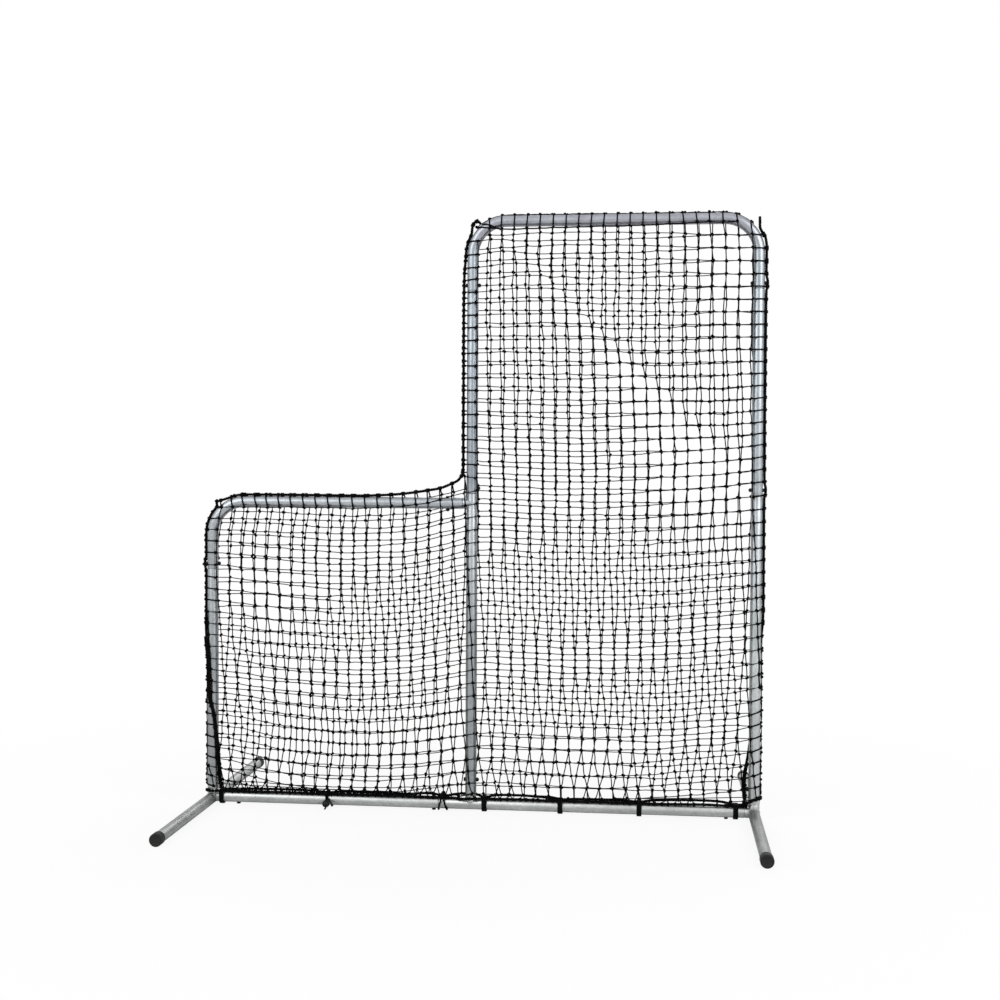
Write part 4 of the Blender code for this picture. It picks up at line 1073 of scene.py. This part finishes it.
def edge_gap(x, z):
    """How far a place lies inside the net's edge line: less than nothing outside."""
    inside = False
    nearest = 10.0
    for one, two in zip(EDGE, EDGE[1:]):
        (x1, z1), (x2, z2) = one, two
        if (z1 > z) != (z2 > z) and x < (x2 - x1) * (z - z1) / (z2 - z1) + x1:
            inside = not inside
        nearest = min(nearest, span_gap(x, z, one, two)[0])
    return nearest if inside else -nearest


def net_depth(x, z):
    """How far the net stands off the screen's plane: it lies on the tubes and wraps their sides."""
    distance = frame_distance(x, z)
    if distance <= 0:
        return NET_FACE
    share = distance / (distance + max(0.0, edge_gap(x, z)))
    return NET_FACE * math.sqrt(max(0.0, 1 - share * share))


def net_knot(mould, spot, chance, bulk=1.0):
    """A tight knot: a lump with ridges where the twine turns round itself."""
    turn = chance.uniform(0, math.pi)
    axis = Vector((math.cos(turn), 0, math.sin(turn)))
    side, up = axis_frame(axis)
    size = chance.uniform(0.0055, 0.0063) * bulk
    rings = []
    for along, share in ((-1.15, 0.45), (-0.65, 0.90), (0.0, 0.84), (0.65, 0.95), (1.15, 0.45)):
        radii = []
        for index in range(8):
            angle = 2 * math.pi * index / 8
            ridge = 1 + 0.16 * math.cos(2 * angle + 1.7 * along + turn)
            flat = math.hypot(math.cos(angle), 0.85 * math.sin(angle))
            radii.append(size * share * ridge * flat)
        rings.append(mould.add_ring(spot + axis * (along * size), side, up, radii))
    for one, two in zip(rings, rings[1:]):
        mould.join_rings(one, two, 0, 0.002, 0.02)
    mould.close_ring(rings[0])
    mould.close_ring(rings[-1])


def net_strand(mould, start, end, outward, chance, selvage):
    """Twine from knot to knot, bowed a little by its slack. What hangs down looks the thicker."""
    bow = Vector((chance.gauss(0, 0.0006), 0, chance.gauss(-0.0003, 0.0006)))
    middle = start.lerp(end, 0.5) + bow
    middle.y = outward * net_depth(middle.x, middle.z)
    twine = HANGING_TWINE if abs(end.z - start.z) > abs(end.x - start.x) else TWINE
    route = [start, middle, end]
    swept_form(mould, route, (EDGE_TWINE if selvage else twine) / 2, 5, ends=False)


def edge_heading(x, z):
    """The way straight out of the net's edge line, where it is nearest to a place."""
    step = 0.002
    slope = Vector((
        edge_gap(x + step, z) - edge_gap(x - step, z), 0,
        edge_gap(x, z + step) - edge_gap(x, z - step),
    ))
    return -slope.normalized() if slope.length > 1e-6 else Z_AXIS


def edge_strand(mould, start, heading, outward):
    """Twine from the last knot over the tube to the net's edge. Gives where it ends."""
    # A strand that would run along the edge, and one that would be very long or short, is left out
    if heading.dot(edge_heading(start.x, start.z)) < 0.55:
        return None
    step = 0.002
    longest = 0.16
    reach = 0.0
    spot = start.copy()
    while edge_gap(spot.x, spot.z) > 0.0008 and reach < longest:
        reach += step
        spot = start + heading * reach
    if reach < 2 * step or reach >= longest:
        return None
    pieces = max(2, round(reach / 0.008))
    route = [start]
    for index in range(1, pieces + 1):
        place = start + heading * (reach * index / pieces)
        place.y = outward * net_depth(place.x, place.z)
        route.append(place)
    route[-1].y = outward * 0.0015
    swept_form(mould, route, EDGE_TWINE / 2, 6, ends=False)
    return route[-1]


def edge_station(spot):
    """How far along the net's edge line a place is."""
    best = (10.0, 0.0)
    walked = 0.0
    for one, two in zip(EDGE, EDGE[1:]):
        gap, share = span_gap(spot.x, spot.z, one, two)
        span = math.hypot(two[0] - one[0], two[1] - one[1])
        best = min(best, (gap, walked + share * span))
        walked += span
    return best[1]


def rim_twine(moulds, ends, chance):
    """Twine along the net's own edge, from mesh to mesh, where no rope follows it."""
    loose = sorted((edge_station(end), tuple(end)) for end in ends)
    for (start_at, start), (end_at, end) in zip(loose, loose[1:]):
        start, end = Vector(start), Vector(end)
        # The seam ropes follow the posts from 0.70 m up, and the low rail
        roped = 0.70 < (start.z + end.z) / 2 < 2.09 and abs(start.z - end.z) > 0.02
        on_rail = start.x < CENTER_X and start.z > 1.0
        if end_at - start_at > 0.09 or roped or on_rail:
            continue
        bow = Vector((end.z - start.z, 0, start.x - end.x)).normalized()
        bow *= chance.uniform(-0.0030, -0.0005)
        route = [start.lerp(end, t) + bow * (4 * t * (1 - t)) for t in (0, 0.25, 0.5, 0.75, 1)]
        mould = moulds["tall" if start.x > CENTER_X else "low"]
        swept_form(mould, route, TWINE / 2, 5, ends=False)


def hem_strands(mould, spot, outward):
    """Twine from a last knot down to the hem: a low knot spreads its two strands."""
    feet = []
    for spread in (-0.011, 0.011) if spot.z < HEM_MESH else (0.001,):
        foot = Vector((spot.x + spread, outward * HEM_Y, 0))
        foot.z = HEM_Z + hem_lift(foot.x, outward)
        if LEFT_X + 0.02 < foot.x < RIGHT_X - 0.02:
            middle = spot.lerp(foot, 0.5) + Y_AXIS * (outward * 0.002)
            swept_form(mould, [spot, middle, foot], HANGING_TWINE / 2, 5, ends=False)
            feet.append(foot.x)
    return feet


def make_nets(finish):
    """Both faces of the pillowcase, each in a piece for the tall bay and one for the low bay.

    Gives where strands end on the seam ropes, and where they end on each hem rope.
    """
    ends = []
    feet = {"front": [], "back": []}
    for face, outward, tables, seed in (("front", -1, FRONT_NET, 41), ("back", 1, BACK_NET, 43)):
        chance = random.Random(seed)
        knots = {}
        for column in range(FIRST_COLUMN, LAST_COLUMN):
            for row in range(LAST_ROW):
                x, z = lattice_place(tables, column, row)
                if z < LOWEST_KNOT or edge_gap(x, z) < 0.006:
                    continue
                # No two meshes of a used net are quite alike
                x += chance.gauss(0, 0.0014)
                z = max(LOWEST_KNOT + 0.007, z + chance.gauss(0, 0.0012))
                knots[column, row] = Vector((x, outward * net_depth(x, z), z))
        moulds = {"tall": Mould(), "low": Mould()}
        rims = []
        for (column, row), spot in knots.items():
            mould = moulds["tall" if column >= POST_COLUMN else "low"]
            net_knot(mould, spot, chance)
            for step_column, step_row in ((1, 0), (-1, 0), (0, -1), (0, 1)):
                other = (column + step_column, row + step_row)
                if other in knots:
                    # Each strand is made once, from its left or upper knot
                    if step_column + step_row > 0:
                        home = moulds["tall" if max(column, other[0]) >= POST_COLUMN else "low"]
                        # The front face's first row is stouter twine, just below the arch
                        selvage = outward < 0 and row == 0 == step_row
                        net_strand(home, spot, knots[other], outward, chance, selvage)
                elif step_row == 1:
                    if spot.z <= HEM_REACH and abs(spot.x) <= RIGHT_X:
                        feet[face] += hem_strands(mould, spot, outward)
                else:
                    x, z = lattice_place(tables, *other)
                    heading = Vector((x - spot.x, 0, z - spot.z)).normalized()
                    end = edge_strand(mould, spot, heading, outward)
                    if end:
                        net_knot(mould, end, chance, 1.08)
                        rims.append(end)
        rim_twine(moulds, rims, chance)
        ends += rims
        for bay, mould in moulds.items():
            name = f"net_{face}_{bay}"
            finished_piece(f"knotted_{name}", mould, finish, name, 60)
    return ends, feet


def make_seam_ropes(finish, ends):
    """Twisted lacing ropes, with a hitch of thin cord at each mesh of the net's edge."""
    routes = seam_rope_routes()
    # A second cord gathers the net along the low end of the left and right ropes
    gathers = (
        [spot + Vector((-0.0045, -0.0040, 0)) for spot in routes[0] if spot.z < 0.62],
        [],
        [spot + Vector((0.0045, -0.0050, 0)) for spot in routes[2] if spot.z < 0.20],
    )
    names = ("seam_rope_left", "seam_rope_notch", "seam_rope_right")
    for name, route, gather in zip(names, routes, gathers):
        mould = Mould()
        even = twisted_rope(mould, route, SEAM_ROPE, ROPE_LAY)
        chance = random.Random(len(name))
        for end in ends:
            gaps = [(spot - end).length for spot in even]
            nearest = gaps.index(min(gaps))
            if gaps[nearest] > 0.010 or not 2 < nearest < len(even) - 3:
                continue
            turns = chance.choice((2.2, 3.1, 3.4))
            knot_coil(mould, even[nearest], heading_at(even, nearest), SEAM_ROPE + 0.0008, turns,
                      0.0017, 0.0032 * turns)
        if gather:
            twisted_rope(mould, gather, 0.0041, 0.018)
            for place in range(6, len(gather) - 3, 7):
                spot = gather[place]
                middle = spot.lerp(min(even, key=lambda near: (near - spot).length), 0.5)
                knot_coil(mould, middle, heading_at(gather, place), 0.0078, 2.2, 0.0018, 0.006)
        if name == "seam_rope_left":
            # The knot that joins it to the notch's rope
            knot_coil(mould, Vector((-0.9665, -0.001, 1.1090)), Vector((0.8, 0, 0.6)), 0.0046, 2.4,
                      0.0030, 0.0090)
        if name == "seam_rope_notch":
            # Turns that whip its standing loop
            for place, lean in ((Vector((-0.0265, 0, 2.1020)), Vector((0.42, 0, 0.91))),
                                (Vector((-0.0130, 0, 2.1145)), Vector((0.90, 0, 0.43)))):
                knot_coil(mould, place, lean, SEAM_ROPE + 0.0006, 3.4, 0.0020, 0.0130)
            twisted_rope(mould, routes[3], 0.0031, 0.016)
        finished_piece(f"laid_{name}", mould, finish, name, 60)


# How high the rear hem rope is lifted by the net's pull, in millimetres, at some places along
# the rail in metres: nothing at a tie, and most halfway between two
REAR_LIFTS = (
    (-0.960, 0), (-0.9437, 0), (-0.860, 4), (-0.720, 6), (-0.600, 4), (-0.551, 0), (-0.500, 4),
    (-0.360, 4), (-0.240, 4), (-0.175, 9), (-0.127, 1), (-0.080, 8), (-0.045, 8), (-0.005, 7),
    (0.024, 0), (0.060, 8), (0.150, 10), (0.240, 6), (0.297, 0), (0.350, 3), (0.440, 4),
    (0.530, 3), (0.578, 0), (0.620, 6), (0.700, 10), (0.800, 12), (0.870, 9), (0.917, 0),
    (0.955, 2),
)
FRONT_LIFTS = (
    (-0.960, 0), (-0.9437, 0), (-0.700, 1), (-0.551, 0), (-0.300, 1), (-0.127, 0), (0.024, 0),
    (0.160, 1), (0.297, 0), (0.440, 1), (0.578, 0), (0.700, 1), (0.820, 3), (0.880, 1),
    (0.917, 0), (0.955, 0),
)


# Where the net's gathered lower edge goes over the front of the left and right end posts
END_WRAPS = (
    ((-0.9400, -0.0165, 0.0500), (-0.9560, -0.0235, 0.0500), (-0.9700, -0.0262, 0.0505),
     (-0.9810, -0.0268, 0.0510), (-0.9900, -0.0250, 0.0515), (-0.9970, -0.0205, 0.0520)),
    ((0.9370, -0.0140, 0.0540), (0.9480, -0.0205, 0.0590), (0.9620, -0.0255, 0.0680),
     (0.9780, -0.0270, 0.0740), (0.9925, -0.0250, 0.0780), (1.0025, -0.0160, 0.0810)),
)


def hem_lift(x, outward):
    """How far a hem rope stands above its solid at a place along the rail, in metres."""
    lifts = REAR_LIFTS if outward > 0 else FRONT_LIFTS
    places = [place for place, _ in lifts]
    if not places[0] < x < places[-1]:
        return HEM_RISE
    rises = [rise for _, rise in lifts]
    return HEM_RISE + max(0.0, eased_value(places, rises, x) / 1000)


def hem_route(outward):
    """A hem rope beside the floor rail, and round the foot of the middle post."""
    clear = TUBE_RADIUS + HEM_ROPE
    post_y = TOP_STANDOFF + TOUCH_GAP
    bolt_clear = 0.013 + STRAP_WIDTH
    before = CENTER_X - STUB_SEAM - clear
    after = CENTER_X + STUB_SEAM + clear
    strap = STRAPS_X[1]
    stretch = (
        (LEFT_X + clear, HEM_Y), (STRAPS_X[0] + STRAP_WIDTH, HEM_Y), (before - bolt_clear, HEM_Y),
        (before, HEM_Y), (CENTER_X - clear, post_y), (CENTER_X, post_y),
        (CENTER_X + HEM_ROPE, post_y), (strap - STRAP_WIDTH / 2, HEM_Y),
        (strap + STRAP_WIDTH, HEM_Y), (after + bolt_clear, HEM_Y), (RIGHT_X - clear, HEM_Y),
    )
    route = smooth_route([Vector((x, outward * y, HEM_Z)) for x, y in stretch], 8)
    route = even_route(route, 0.006)
    for spot in route:
        spot.z += hem_lift(spot.x, outward)
    return route


def make_hem_ropes(finish, feet):
    """Twisted hem ropes on both sides of the floor rail, with a hitch at each strand's foot."""
    for name, outward, face in (("hem_rope_front", -1, "front"), ("hem_rope_back", 1, "back")):
        mould = Mould()
        even = twisted_rope(mould, hem_route(outward), HEM_ROPE, ROPE_LAY)
        chance = random.Random(len(name) + 3)
        for foot in feet[face]:
            spot = min(even, key=lambda place: abs(place.x - foot))
            if min(abs(spot.x - strap) for strap in STRAPS_X) > STRAP_WIDTH * 0.7:
                knot_coil(mould, spot, X_AXIS, HEM_ROPE + 0.0007, chance.choice((1.6, 2.2)),
                          0.0014, chance.uniform(0.004, 0.007))
        # The net's gathered lower edge goes over the front of both end posts
        for wrap in END_WRAPS if outward < 0 else ():
            route = smooth_route([Vector(spot) for spot in wrap], 6)
            twisted_rope(mould, route, 0.0044, 0.020)
            for place in range(3, len(route) - 2, 6):
                knot_coil(mould, route[place], heading_at(route, place), 0.0052, 2.2, 0.0015, 0.006)
            knot_coil(mould, route[-1], Z_AXIS, 0.0040, 2.3, 0.0026, 0.008)
        finished_piece(f"laid_{name}", mould, finish, name, 60)


def band_route(grow, sag=0.0):
    """A band pulled round the rail and both hem ropes: each spot and the way out of it.

    The count starts at the back and goes over the top, down the front and under the rail.
    """
    rounds = (
        (Vector((0, 0, RAIL_Z)), TUBE_RADIUS),
        (Vector((0, HEM_Y, HEM_Z + HEM_RISE)), HEM_ROPE),
        (Vector((0, -HEM_Y, HEM_Z + HEM_RISE)), HEM_ROPE),
    )
    spots = []
    for index in range(BAND_STEPS):
        angle = 2 * math.pi * index / BAND_STEPS
        away = Vector((0, math.cos(angle), math.sin(angle)))
        center, radius = max(rounds, key=lambda pair: pair[0].dot(away) + pair[1])
        slack = sag * max(0.0, -away.z) ** 3
        spots.append((center + away * (radius + TOUCH_GAP + grow + slack), away))
    return spots


def webbing_run(mould, spots, middle, thickness, closed):
    """Flat webbing with rounded edges along places that each hold a spot and the way out."""
    half = STRAP_WIDTH / 2
    section = ((-1, 0.25), (-0.95, 0.0), (0, 0.0), (0.95, 0.0), (1, 0.25), (1, 0.75),
               (0.95, 1.0), (0.45, 1.12), (0, 1.15), (-0.45, 1.12), (-0.95, 1.0), (-1, 0.75))
    loops = []
    for spot, away in spots:
        first = len(mould.spots)
        for across, rise in section:
            place = spot + X_AXIS * (middle + across * half) + away * (rise * thickness)
            mould.spots.append(place)
        loops.append((first, len(section)))
    walked = 0
    for index in range(len(loops) - (0 if closed else 1)):
        after = (index + 1) % len(loops)
        step = (spots[after][0] - spots[index][0]).length
        mould.join_rings(loops[index], loops[after], walked, walked + step, 2 * STRAP_WIDTH)
        walked += step
    if not closed:
        mould.close_ring(loops[0])
        mould.close_ring(loops[-1])


def make_straps(finish):
    """Webbing straps that sag a little below the rail, with an overlap and two sewn rows."""
    for number, middle in enumerate(STRAPS_X, start=1):
        mould = Mould()
        webbing_run(mould, band_route(0, STRAP_SAG), middle, 0.0018, True)
        # The overlap is on the lower front, with a row of stitches near each end
        outside = band_route(0.0019, STRAP_SAG)
        webbing_run(mould, outside[22:35], middle, 0.0017, False)
        for row in (24, 32):
            spot, away = outside[row]
            along = (outside[row + 1][0] - outside[row - 1][0]).normalized()
            for stitch in range(7):
                across = X_AXIS * (middle + STRAP_WIDTH * 0.125 * (stitch - 3))
                seat = spot + across + away * 0.0019
                swept_form(mould, [seat - along * 0.0011 - away * 0.0004, seat,
                                   seat + along * 0.0011 - away * 0.0004], 0.0004, 5)
        finished_piece(f"webbing_strap_{number}", mould, finish, f"hem_strap_{number}")


def make_ball_tie(cord, plastic):
    """An elastic loop round the rail and hem, held by a ball, with a knot and two tails."""
    middle = X_AXIS * BALL_TIE_X
    elastic = 0.0024
    mould = Mould()
    spots = band_route(elastic)
    for shift in (-0.0025, 0.0025):
        loop = [middle + X_AXIS * shift + spot for spot, _ in spots]
        swept_form(mould, loop, elastic, 10, cyclic=True)
    along = (spots[22][0] - spots[18][0]).normalized()
    knot_coil(mould, middle + spots[20][0], along, 0.0056, 3.2, 0.0019, 0.0120)
    for tail in (
        ((0.002, -0.0220, 0.0400), (0.0095, -0.0290, 0.0330), (0.0165, -0.0335, 0.0250),
         (0.0215, -0.0360, 0.0170), (0.0255, -0.0385, 0.0110)),
        ((0.001, -0.0300, 0.0080), (0.0015, -0.0380, 0.0060), (0.0015, -0.0470, 0.0038),
         (0.0010, -0.0550, 0.0031)),
    ):
        swept_form(mould, smooth_route([middle + Vector(spot) for spot in tail], 5), 0.0028, 8)
    knot_coil(mould, middle + Vector((0.0240, -0.0380, 0.0130)), Vector((0.4, -0.2, -0.9)), 0.0032,
              2.3, 0.0016, 0.0060)
    finished_piece("elastic_ball_tie_loop", mould, cord, "ball_tie_loop")
    below = math.radians(-15)
    away = Vector((0, -math.cos(below), math.sin(below)))
    center = middle + Z_AXIS * RAIL_Z + away * (TUBE_RADIUS + TOUCH_GAP + 0.003 + 0.012)
    # The ball is bored through, and the bore's lips are eased
    ball_radius = 0.013
    lip = [(0.0100, 0.0016), (0.0122, 0.0018), (0.0126, 0.0030)]
    profile = [(-along, radius) for along, radius in lip]
    for turn in range(16, 165, 9):
        angle = math.radians(turn)
        profile.append((-ball_radius * math.cos(angle), ball_radius * math.sin(angle)))
    mould = Mould()
    turned_form(mould, center, away, profile + lip[::-1])
    finished_piece("moulded_tie_ball", mould, plastic, "ball_tie_ball")


def make_cord_tie(finish):
    """Two turns of cord that cross on top, with a knot there, and spread below as an upturned V."""
    mould = Mould()
    thick = 0.0030
    spots = band_route(thick)
    middle = X_AXIS * CORD_TIE_X
    route = []
    for step in range(2 * BAND_STEPS):
        turn = math.pi * step / BAND_STEPS
        spot, away = spots[(step + BAND_STEPS // 4) % BAND_STEPS]
        lift = (2 * thick + TOUCH_GAP) * max(0, -math.cos(turn)) ** 2
        # They stay together to the hem's lower edge and part evenly over the rail
        below = min(1, max(0, (0.045 - spot.z) / 0.038))
        spread = thick + 0.0002 + 0.0118 * below
        shift = X_AXIS * (CORD_TIE_X + math.copysign(spread, math.sin(turn + 1e-9)))
        route.append(shift + spot + away * lift)
    swept_form(mould, route, thick, 10, cyclic=True)
    knot, _ = spots[BAND_STEPS * 3 // 8]
    knot_coil(mould, middle + knot, X_AXIS, 0.0043, 2.3, 0.0021, 0.0080)
    finished_piece("tied_thin_cord", mould, finish, "cord_tie")


def make_studio():
    """A pale floor, a white backdrop and soft lamps."""
    scene = bpy.context.scene
    floor = bpy.data.meshes.new("studio_floor")
    floor.from_pydata([(-12, -12, 0), (12, -12, 0), (12, 12, 0), (-12, 12, 0)], [], [(0, 1, 2, 3)])
    item = bpy.data.objects.new("studio_floor", floor)
    scene.collection.objects.link(item)
    paper, tree, shader, place = new_finish("matte_white_floor")
    shader.inputs["Base Color"].default_value = linear_colour("F4F4F4")
    shader.inputs["Roughness"].default_value = 0.9
    shader.inputs["Specular IOR Level"].default_value = 0.1
    # The floor looks as white as the backdrop, and takes the screen's faint shadow near it
    path = add_node(tree, "ShaderNodeLightPath")
    away = add_node(tree, "ShaderNodeVectorMath", {"Vector": place}, operation="LENGTH")
    share = add_node(tree, "ShaderNodeMapRange", {
        "Value": away.outputs["Value"], "From Min": 1.0, "From Max": 2.6,
        "To Min": 0.12, "To Max": 0.0})
    glow = add_node(tree, "ShaderNodeEmission", {"Strength": 1.0})
    lit = add_node(tree, "ShaderNodeMixShader", {0: share, 1: glow, 2: shader})
    seen = add_node(tree, "ShaderNodeMixShader", {
        0: path.outputs["Is Camera Ray"], 1: shader, 2: lit})
    tree.links.new(seen.outputs[0], tree.nodes["Material Output"].inputs["Surface"])
    floor.materials.append(paper)

    # The room lights the screen softly, and is white wherever the camera or a reflection meets it
    world = bpy.data.worlds.new("white_studio")
    scene.world = world
    world.use_nodes = True
    tree = world.node_tree
    white = linear_colour("FFFFFF")
    room = tree.nodes["Background"]
    room.inputs["Color"].default_value = white
    room.inputs["Strength"].default_value = 0.55
    wall = add_node(tree, "ShaderNodeBackground", {"Color": white, "Strength": 1.0})
    path = add_node(tree, "ShaderNodeLightPath")
    direct = add_node(tree, "ShaderNodeMath", {
        0: path.outputs["Is Camera Ray"], 1: path.outputs["Is Glossy Ray"]}, operation="MAXIMUM")
    looked_at = add_node(tree, "ShaderNodeMath", {
        0: direct, 1: path.outputs["Is Transmission Ray"]}, operation="MAXIMUM")
    mix = add_node(tree, "ShaderNodeMixShader", {0: looked_at, 1: room, 2: wall})
    tree.links.new(mix.outputs[0], tree.nodes["World Output"].inputs["Surface"])

    aim = Vector((0, 0, 1.0))
    for name, place, width, power in (
        ("lamp_left", (-3.6, -4.2, 4.0), 4.2, 115),
        ("lamp_right", (4.2, -3.4, 3.6), 4.2, 125),
        ("lamp_back", (0.5, 5.0, 4.6), 4.0, 110),
    ):
        light = bpy.data.lights.new(name, "AREA")
        light.shape = "DISK"
        light.size = width
        light.energy = power
        lamp = bpy.data.objects.new(name, light)
        scene.collection.objects.link(lamp)
        lamp.location = place
        lamp.rotation_euler = (aim - Vector(place)).to_track_quat("-Z", "Y").to_euler()


def make_camera():
    """The camera at the photograph's viewing angle."""
    yaw, pitch, roll = CAMERA_YAW, CAMERA_PITCH, CAMERA_ROLL
    ahead = Vector((
        -math.sin(yaw) * math.cos(pitch), math.cos(yaw) * math.cos(pitch), math.sin(pitch),
    ))
    right = Vector((math.cos(yaw), math.sin(yaw), 0))
    up = right.cross(ahead)
    across = right * math.cos(roll) + up * math.sin(roll)
    above = up * math.cos(roll) - right * math.sin(roll)
    turned = Matrix((across, above, -ahead)).transposed().to_4x4()
    view = bpy.data.cameras.new("photo_view")
    view.lens = CAMERA_LENS
    view.sensor_width = CAMERA_SENSOR
    camera = bpy.data.objects.new("photo_view", view)
    bpy.context.scene.collection.objects.link(camera)
    camera.matrix_world = Matrix.Translation(CAMERA_PLACE) @ turned
    bpy.context.scene.camera = camera


def main():
    make_camera()
    make_studio()
    make_tubes(galvanised_steel())
    make_fasteners(black_zinc())
    make_foot_caps(moulded_rubber())
    ends, feet = make_nets(knotted_nylon())
    rope = laid_rope()
    make_seam_ropes(rope, ends)
    make_hem_ropes(rope, feet)
    make_straps(woven_webbing())
    make_ball_tie(rope, moulded_ball())
    make_cord_tie(rope)
    bpy.context.scene.view_settings.view_transform = "Standard"


main()
